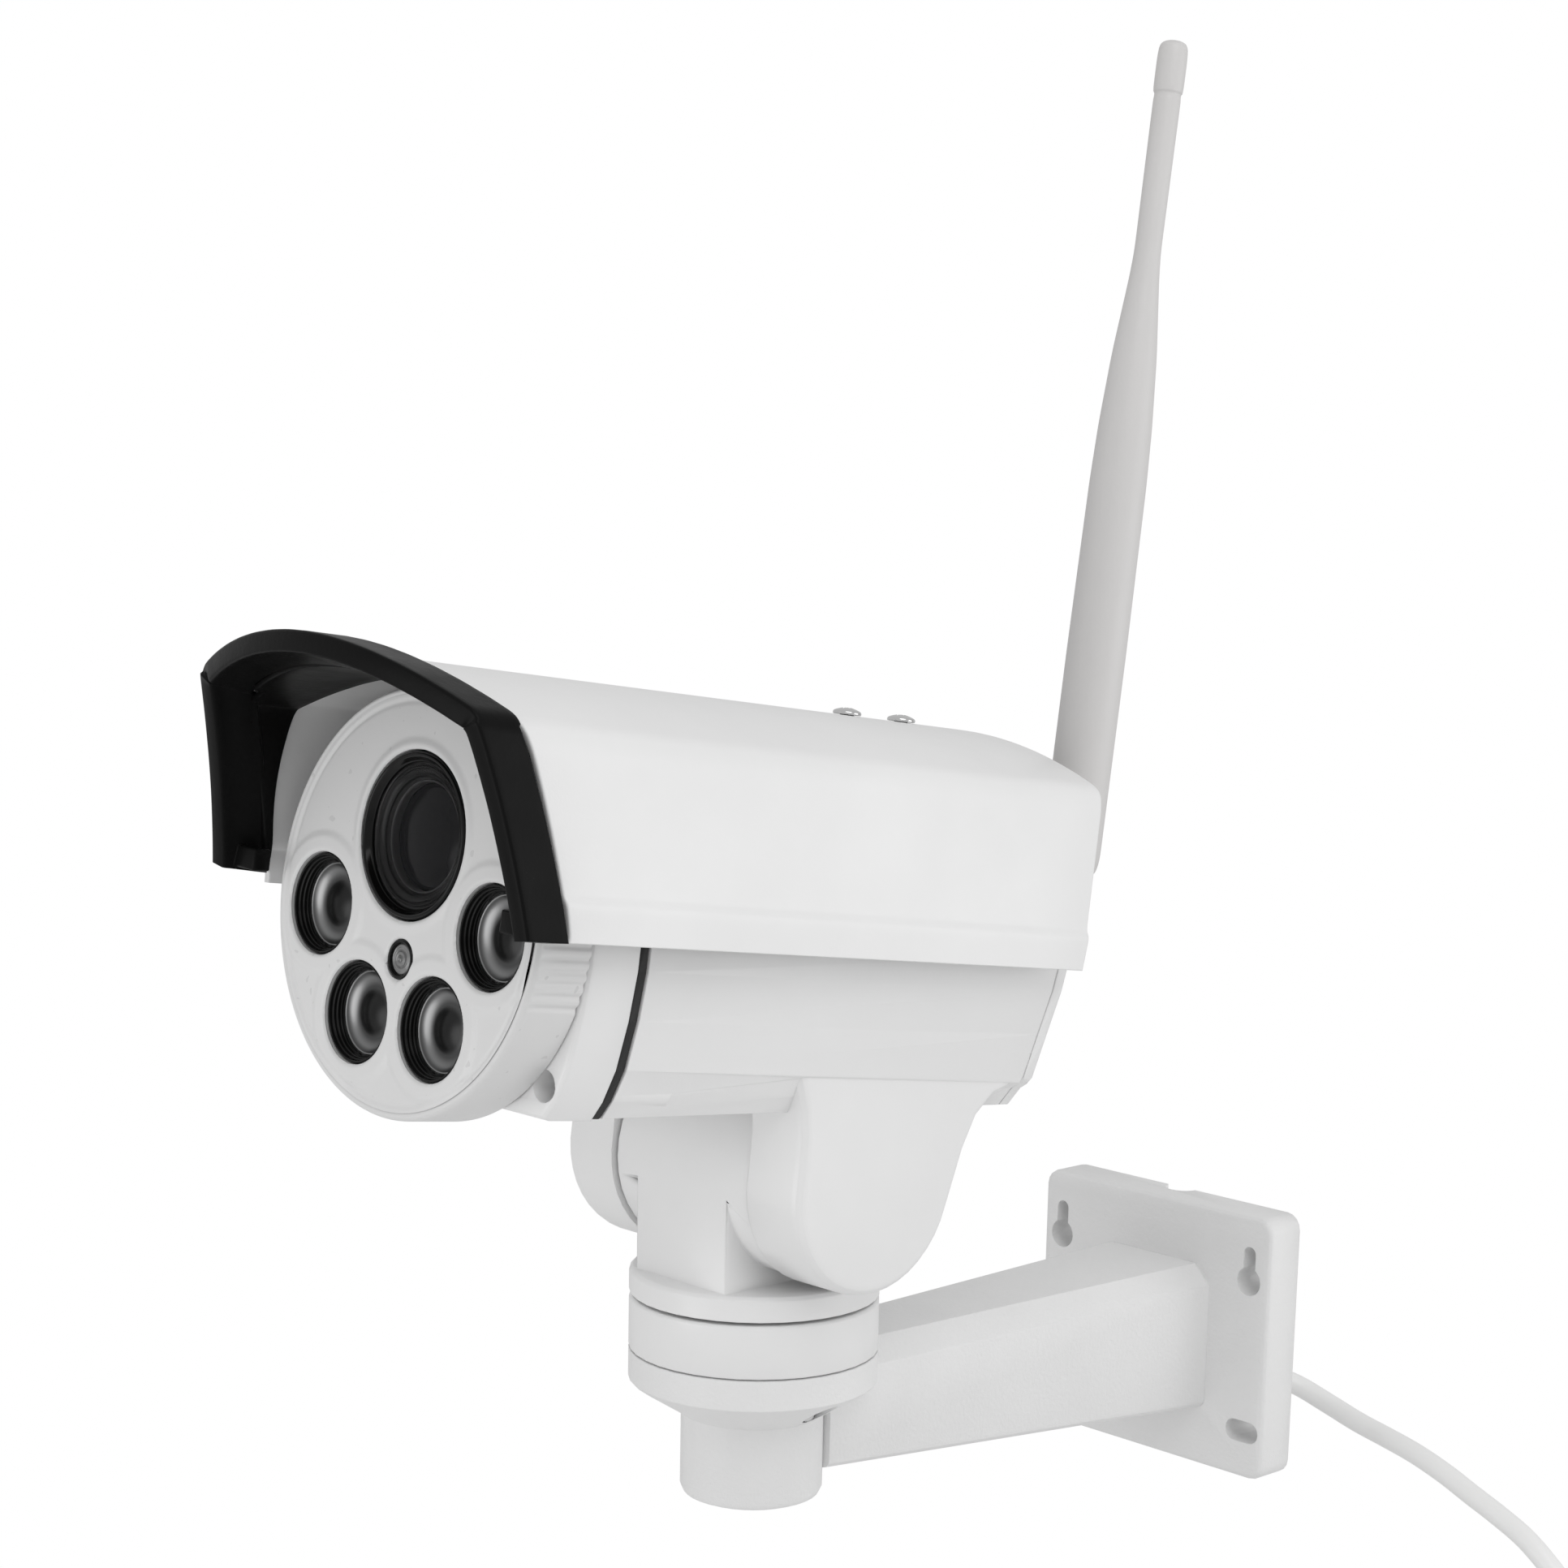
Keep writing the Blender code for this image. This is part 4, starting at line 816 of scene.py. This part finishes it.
# the sunshield, the visor and their screws, in the head's own axes
canopy = {
    "crown": 0.0480,
    "corner": 0.0392,         # Z where the side meets the roof
    "cornerX": 0.0446,
    "shieldThickness": 0.0018,
    "visorFrontThickness": 0.0044,
    "visorRearThickness": 0.0060,
    "roll": math.radians(1.7),
    "pivot": 0.045,           # Z of the visor's roll axis
}


# a parabola: the height falls with the square of the share of the half width
def roofLine(crown, drop, halfWidth):
    share = np.linspace(1, 0, 8)
    return [(s * halfWidth, crown - drop * s * s) for s in share]


def leaningEdge(x, z, low, high, crown):
    # Y of a sheet's edge: from low to high up the side, mostly in line with Z, then by X squared to the crown
    share = np.clip(z, 0, None) / canopy["corner"]
    side = low + (high - low) * (0.70 * share + 0.30 * share ** 2)
    roof = crown + (high - crown) * (x / canopy["cornerX"]) ** 2
    return np.where(z < canopy["corner"], side, roof)


def visorFront(x, z):
    return leaningEdge(x, z, -0.0094, -0.0223, -0.0300)


def visorBack(x, z):
    return leaningEdge(x, z, 0.0008, -0.0119, -0.0195)


def bentSheet(shape, half, front, back, thickness, radius, count=150, rear=None, kind=0, across=9):
    # a sheet bent about Y: one parameter runs along the section, the other round the sheet's own thickness,
    # out along the top, round the rear edge, back along the underside and round the front
    path = evenPath(softPath(half, 0.0022, 5), count)
    path = np.concatenate((path, path[-2::-1] * (-1, 1)))
    along = np.gradient(path, axis=0)
    along /= np.linalg.norm(along, axis=1)[:, None]
    normal = np.stack((along[:, 1], -along[:, 0]), axis=1)
    y0, y1 = front(path[:, 0], path[:, 1]), back(path[:, 0], path[:, 1])
    corner = np.linspace(0, math.pi / 2, 4)
    share = np.linspace(0, 1, across)
    rows = []

    def row(y, depth):
        rows.append(np.stack((path[:, 0] - normal[:, 0] * depth, y,
                              path[:, 1] - normal[:, 1] * depth), axis=1))

    def thick(y):
        if rear is None:
            return thickness
        return thickness + (rear - thickness) * smoothstep((y - y0) / (y1 - y0))

    for s in share:
        row(y0 + radius + (y1 - y0 - 2 * radius) * s, 0 * y0)
    for a in corner[1:]:
        row(y1 - radius * (1 - math.sin(a)), radius * (1 - math.cos(a)) + 0 * y0)
    for a in corner[:-1]:
        row(y1 - radius * (1 - math.cos(a)), thick(y1) - radius * (1 - math.sin(a)))
    for s in share[::-1]:
        y = y0 + radius + (y1 - y0 - 2 * radius) * s
        row(y, thick(y) + 0 * y0)
    for a in corner[1:]:
        row(y0 + radius * (1 - math.sin(a)), thick(y0) - radius * (1 - math.cos(a)))
    for a in corner[:-1]:
        row(y0 + radius * (1 - math.cos(a)), radius * (1 - math.sin(a)) + 0 * y0)
    rows = np.array(rows)
    shape.grid(rows, closeRows=True, kind=kind)
    for end in (0, -1):
        shape.add(rows[:, end], [list(range(len(rows)))], kind)
    return shape


shieldHalf = [(0.0506, -0.0014), (0.0506, 0.0062), (0.0495, 0.0072), (0.0466, 0.0340), (0.0455, 0.0374)]
shieldHalf += roofLine(canopy["crown"], 0.0090, 0.0435)
shield = bentSheet(Shape(), shieldHalf, lambda x, z: visorBack(x, z) + 0.0006,
                   lambda x, z: 0.1485 + 0.115 * np.minimum(z, 0.0380),
                   canopy["shieldThickness"], 0.0005)
makePiece("sunshieldShell", shield, [finishes["paint"]], "head", ("sunshield",), sharp=60)

visorHalf = [(0.0530, 0.0002), (0.0518, 0.0080), (0.0488, 0.0260), (0.0470, 0.0355), (0.0462, 0.0390)]
visorHalf += roofLine(canopy["crown"] + 0.0028, 0.0096, canopy["cornerX"])
visor = bentSheet(Shape(), visorHalf, visorFront, visorBack, canopy["visorFrontThickness"], 0.0006,
                  rear=canopy["visorRearThickness"])
# a small hook at the foot of each leg
for side in (-1, 1):
    visor.block((side * 0.0461, -0.0050, 0.0024), (0.0050, 0.0021, 0.0023), 0.0005, 2)
# the whole visor sits rolled by a small angle
roll = canopy["roll"]
turned = []
for points in visor.points:
    x, z = points[:, 0].copy(), points[:, 2] - canopy["pivot"]
    turned.append(np.stack((x * math.cos(roll) + z * math.sin(roll), points[:, 1],
                            canopy["pivot"] - x * math.sin(roll) + z * math.cos(roll)), axis=1))
visor.points = turned
makePiece("visorShell", visor, [finishes["black"]], "head", ("visor",), sharp=60)

# the visor's inner tongue lies under the sunshield and shows from below
tongueHalf = [(0.0484, 0.0044), (0.0473, 0.0072), (0.0444, 0.0340), (0.0434, 0.0362)]
tongueHalf += roofLine(canopy["crown"] - 0.0021, 0.0090, 0.0418)
tongue = bentSheet(Shape(), tongueHalf, lambda x, z: visorBack(x, z) - 0.0012,
                   lambda x, z: 0.0015 - 0.0032 * np.sin(np.clip(z / 0.042, 0, 1) * math.pi) + 0 * x,
                   0.0012, 0.0003)
makePiece("visorTongue", tongue, [finishes["black"]], "head", sharp=60)


roofScrew = {"radius": 0.0032, "domeRadius": 0.0029, "rise": 0.0016, "fall": 0.0007, "armHalf": 0.00034,
             "armReach": 0.0015, "shank": 0.0015}


def makeRoofScrew(node, name):
    low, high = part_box(node)
    middle = np.array(((low.x + high.x) / 2, (low.y + high.y) / 2, (low.z + high.z) / 2))
    y = float((middle - headFace) @ headBack)
    seat = canopy["crown"] + 0.0001
    radius, flat, steps = roofScrew["radius"], roofScrew["domeRadius"], 96
    armHalf, armReach, shank = roofScrew["armHalf"], roofScrew["armReach"], roofScrew["shank"]
    # the head falls off with the radius squared, and the cross is a step cut into it
    r = np.linspace(0, 1, 22)[:, None] * flat
    a = np.linspace(0, 2 * math.pi, steps, endpoint=False)
    u, v = r * np.cos(a), r * np.sin(a)
    dome = seat + roofScrew["rise"] - roofScrew["fall"] * (r / flat) ** 2 + 0 * u
    arms = (np.minimum(np.abs(u), np.abs(v)) < armHalf) & (np.maximum(np.abs(u), np.abs(v)) < armReach)
    dome = dome - 0.0008 * arms * (1 - r / 0.0034)
    head = np.stack((u, y + v, dome), axis=-1)
    shape = Shape().grid(head, closeColumns=True)
    edge = softPath([(flat, seat + 0.0009), (radius, seat + 0.0006), (radius, seat + 0.0001), (0.0030, seat),
                     (shank, seat), (shank, seat - 0.0046), (0, seat - 0.0046)], 0.0002, 3)
    shape.lathe(edge, steps, (0, y), "z")
    return makePiece(name, shape, [finishes["chrome"]], "head", (node,), sharp=35)


makeRoofScrew("shield_screw_front", "roofScrewFront")
makeRoofScrew("shield_screw_rear", "roofScrewRear")
print("canopy made")


# the antenna
whip = {"tip": 0.1966, "foot": 0.0085, "neckRadius": 0.0030, "thickRadius": 0.0068, "hingeRadius": 0.0035,
        "hingeHalf": 0.00275}


def makeWhip():
    # a turned rod above the hinge, and below it a flat tongue with a half-round end
    hinge = np.array(joints["antenna_fold"]["pos_m"])
    local = np.array((headSide, headBack, headUp)) @ (hinge - headFace)
    tip, foot, neck, thick = whip["tip"], whip["foot"], whip["neckRadius"], whip["thickRadius"]
    hingeRadius, hingeHalf = whip["hingeRadius"], whip["hingeHalf"]
    corners = [(0, tip), (0.0018, tip), (0.0031, tip - 0.0008), (0.0034, tip - 0.0030),
               (0.0034, tip - 0.0112), (neck, tip - 0.0116), (neck, tip - 0.0124), (0.0031, tip - 0.0130),
               (neck, 0.1500),
               (0.0034, 0.1440), (0.0051, 0.1270), (0.0061, 0.1110), (0.0065, 0.0980), (thick, 0.0600),
               (thick, 0.0120), (0.0058, foot), (0, foot)]
    profile = softPath(corners, 0.0030, 5) + (0, local[2])
    shape = Shape().lathe(profile, 64, (local[0], local[1]), "z")
    angle = np.linspace(0, math.pi, 17)
    outline = [(hingeRadius * math.cos(a), -hingeRadius * math.sin(a)) for a in angle]
    outline = [(hingeRadius, 0.0095)] + outline + [(-hingeRadius, 0.0095)]
    outline = np.array(outline)
    rings = [np.stack((np.full(len(outline), local[0] + s), local[1] + outline[:, 0] * k,
                       local[2] + outline[:, 1] * k + (1 - k) * 0.003), axis=1)
             for s, k in ((-hingeHalf, 0.90), (-0.0024, 1.0), (0.0024, 1.0), (hingeHalf, 0.90))]
    shape.grid(np.array(rings), closeColumns=True)
    for ring in (rings[0], rings[-1]):
        shape.add(ring, [list(range(len(ring)))])
    return makePiece("antennaWhip", shape, [finishes["antenna"]], "antenna",
                     ("antenna_whip",), sharp=50)


makeWhip()
print("antenna made")

# the floor and the light
stageSettings = {"drop": 0.004, "half": 3.0, "ambient": 0.62, "floorTone": 0.85}


def shownWhite(name, strength, seen):
    # white to the camera and a plain pale surface to everything else
    made = bpy.data.materials.new(name)
    made.use_nodes = True
    tree = made.node_tree
    shader = tree.nodes["Principled BSDF"]
    shader.inputs["Base Color"].default_value = (strength, strength, strength, 1)
    shader.inputs["Roughness"].default_value = 0.8
    glow = tree.nodes.new("ShaderNodeEmission")
    glow.inputs["Strength"].default_value = seen
    path = tree.nodes.new("ShaderNodeLightPath")
    mix = tree.nodes.new("ShaderNodeMixShader")
    tree.links.new(path.outputs["Is Camera Ray"], mix.inputs[0])
    tree.links.new(shader.outputs[0], mix.inputs[1])
    tree.links.new(glow.outputs[0], mix.inputs[2])
    tree.links.new(mix.outputs[0], tree.nodes["Material Output"].inputs["Surface"])
    return made


floorZ = cadBounds[0][2] - stageSettings["drop"]
reach = stageSettings["half"]
floorMesh = bpy.data.meshes.new("floor")
floorMesh.from_pydata([(-reach, -reach, floorZ), (reach, -reach, floorZ), (reach, reach, floorZ),
                       (-reach, reach, floorZ)], [], [(0, 1, 2, 3)])
floorMesh.materials.append(shownWhite("paleFloor", stageSettings["floorTone"], 1.0))
floor = bpy.data.objects.new("floor", floorMesh)
bpy.context.scene.collection.objects.link(floor)

world = bpy.data.worlds.new("studio")
world.use_nodes = True
worldTree = world.node_tree
ambient = worldTree.nodes["Background"]
ambient.inputs["Color"].default_value = (1, 1, 1, 1)
ambient.inputs["Strength"].default_value = stageSettings["ambient"]
plain = worldTree.nodes.new("ShaderNodeBackground")
plain.inputs["Color"].default_value = (1, 1, 1, 1)
plain.inputs["Strength"].default_value = 1.0
rays = worldTree.nodes.new("ShaderNodeLightPath")
either = worldTree.nodes.new("ShaderNodeMixShader")
worldTree.links.new(rays.outputs["Is Camera Ray"], either.inputs[0])
worldTree.links.new(ambient.outputs[0], either.inputs[1])
worldTree.links.new(plain.outputs[0], either.inputs[2])
worldTree.links.new(either.outputs[0], worldTree.nodes["World Output"].inputs["Surface"])
bpy.context.scene.world = world
bpy.context.scene.view_settings.view_transform = "Standard"

# name, place, target, size in metres, power in watts
lamps = (
    ("keyLight", (0.70, -0.40, 0.95), (0.0, -0.12, 0.08), 0.90, 3.8),
    ("sideLight", (1.20, 0.75, 0.10), (0.0, -0.12, 0.05), 1.10, 4.5),
    ("faceLight", (-0.10, -0.75, 0.06), (0.0, -0.27, 0.12), 0.40, 0.75),
)
for name, place, target, size, power in lamps:
    data = bpy.data.lights.new(name, "AREA")
    data.shape = "DISK"
    data.size = size
    data.energy = power
    lamp = bpy.data.objects.new(name, data)
    lamp.location = place
    lamp.rotation_euler = (Vector(target) - Vector(place)).to_track_quat("-Z", "Y").to_euler()
    bpy.context.scene.collection.objects.link(lamp)
print("stage and lights made")
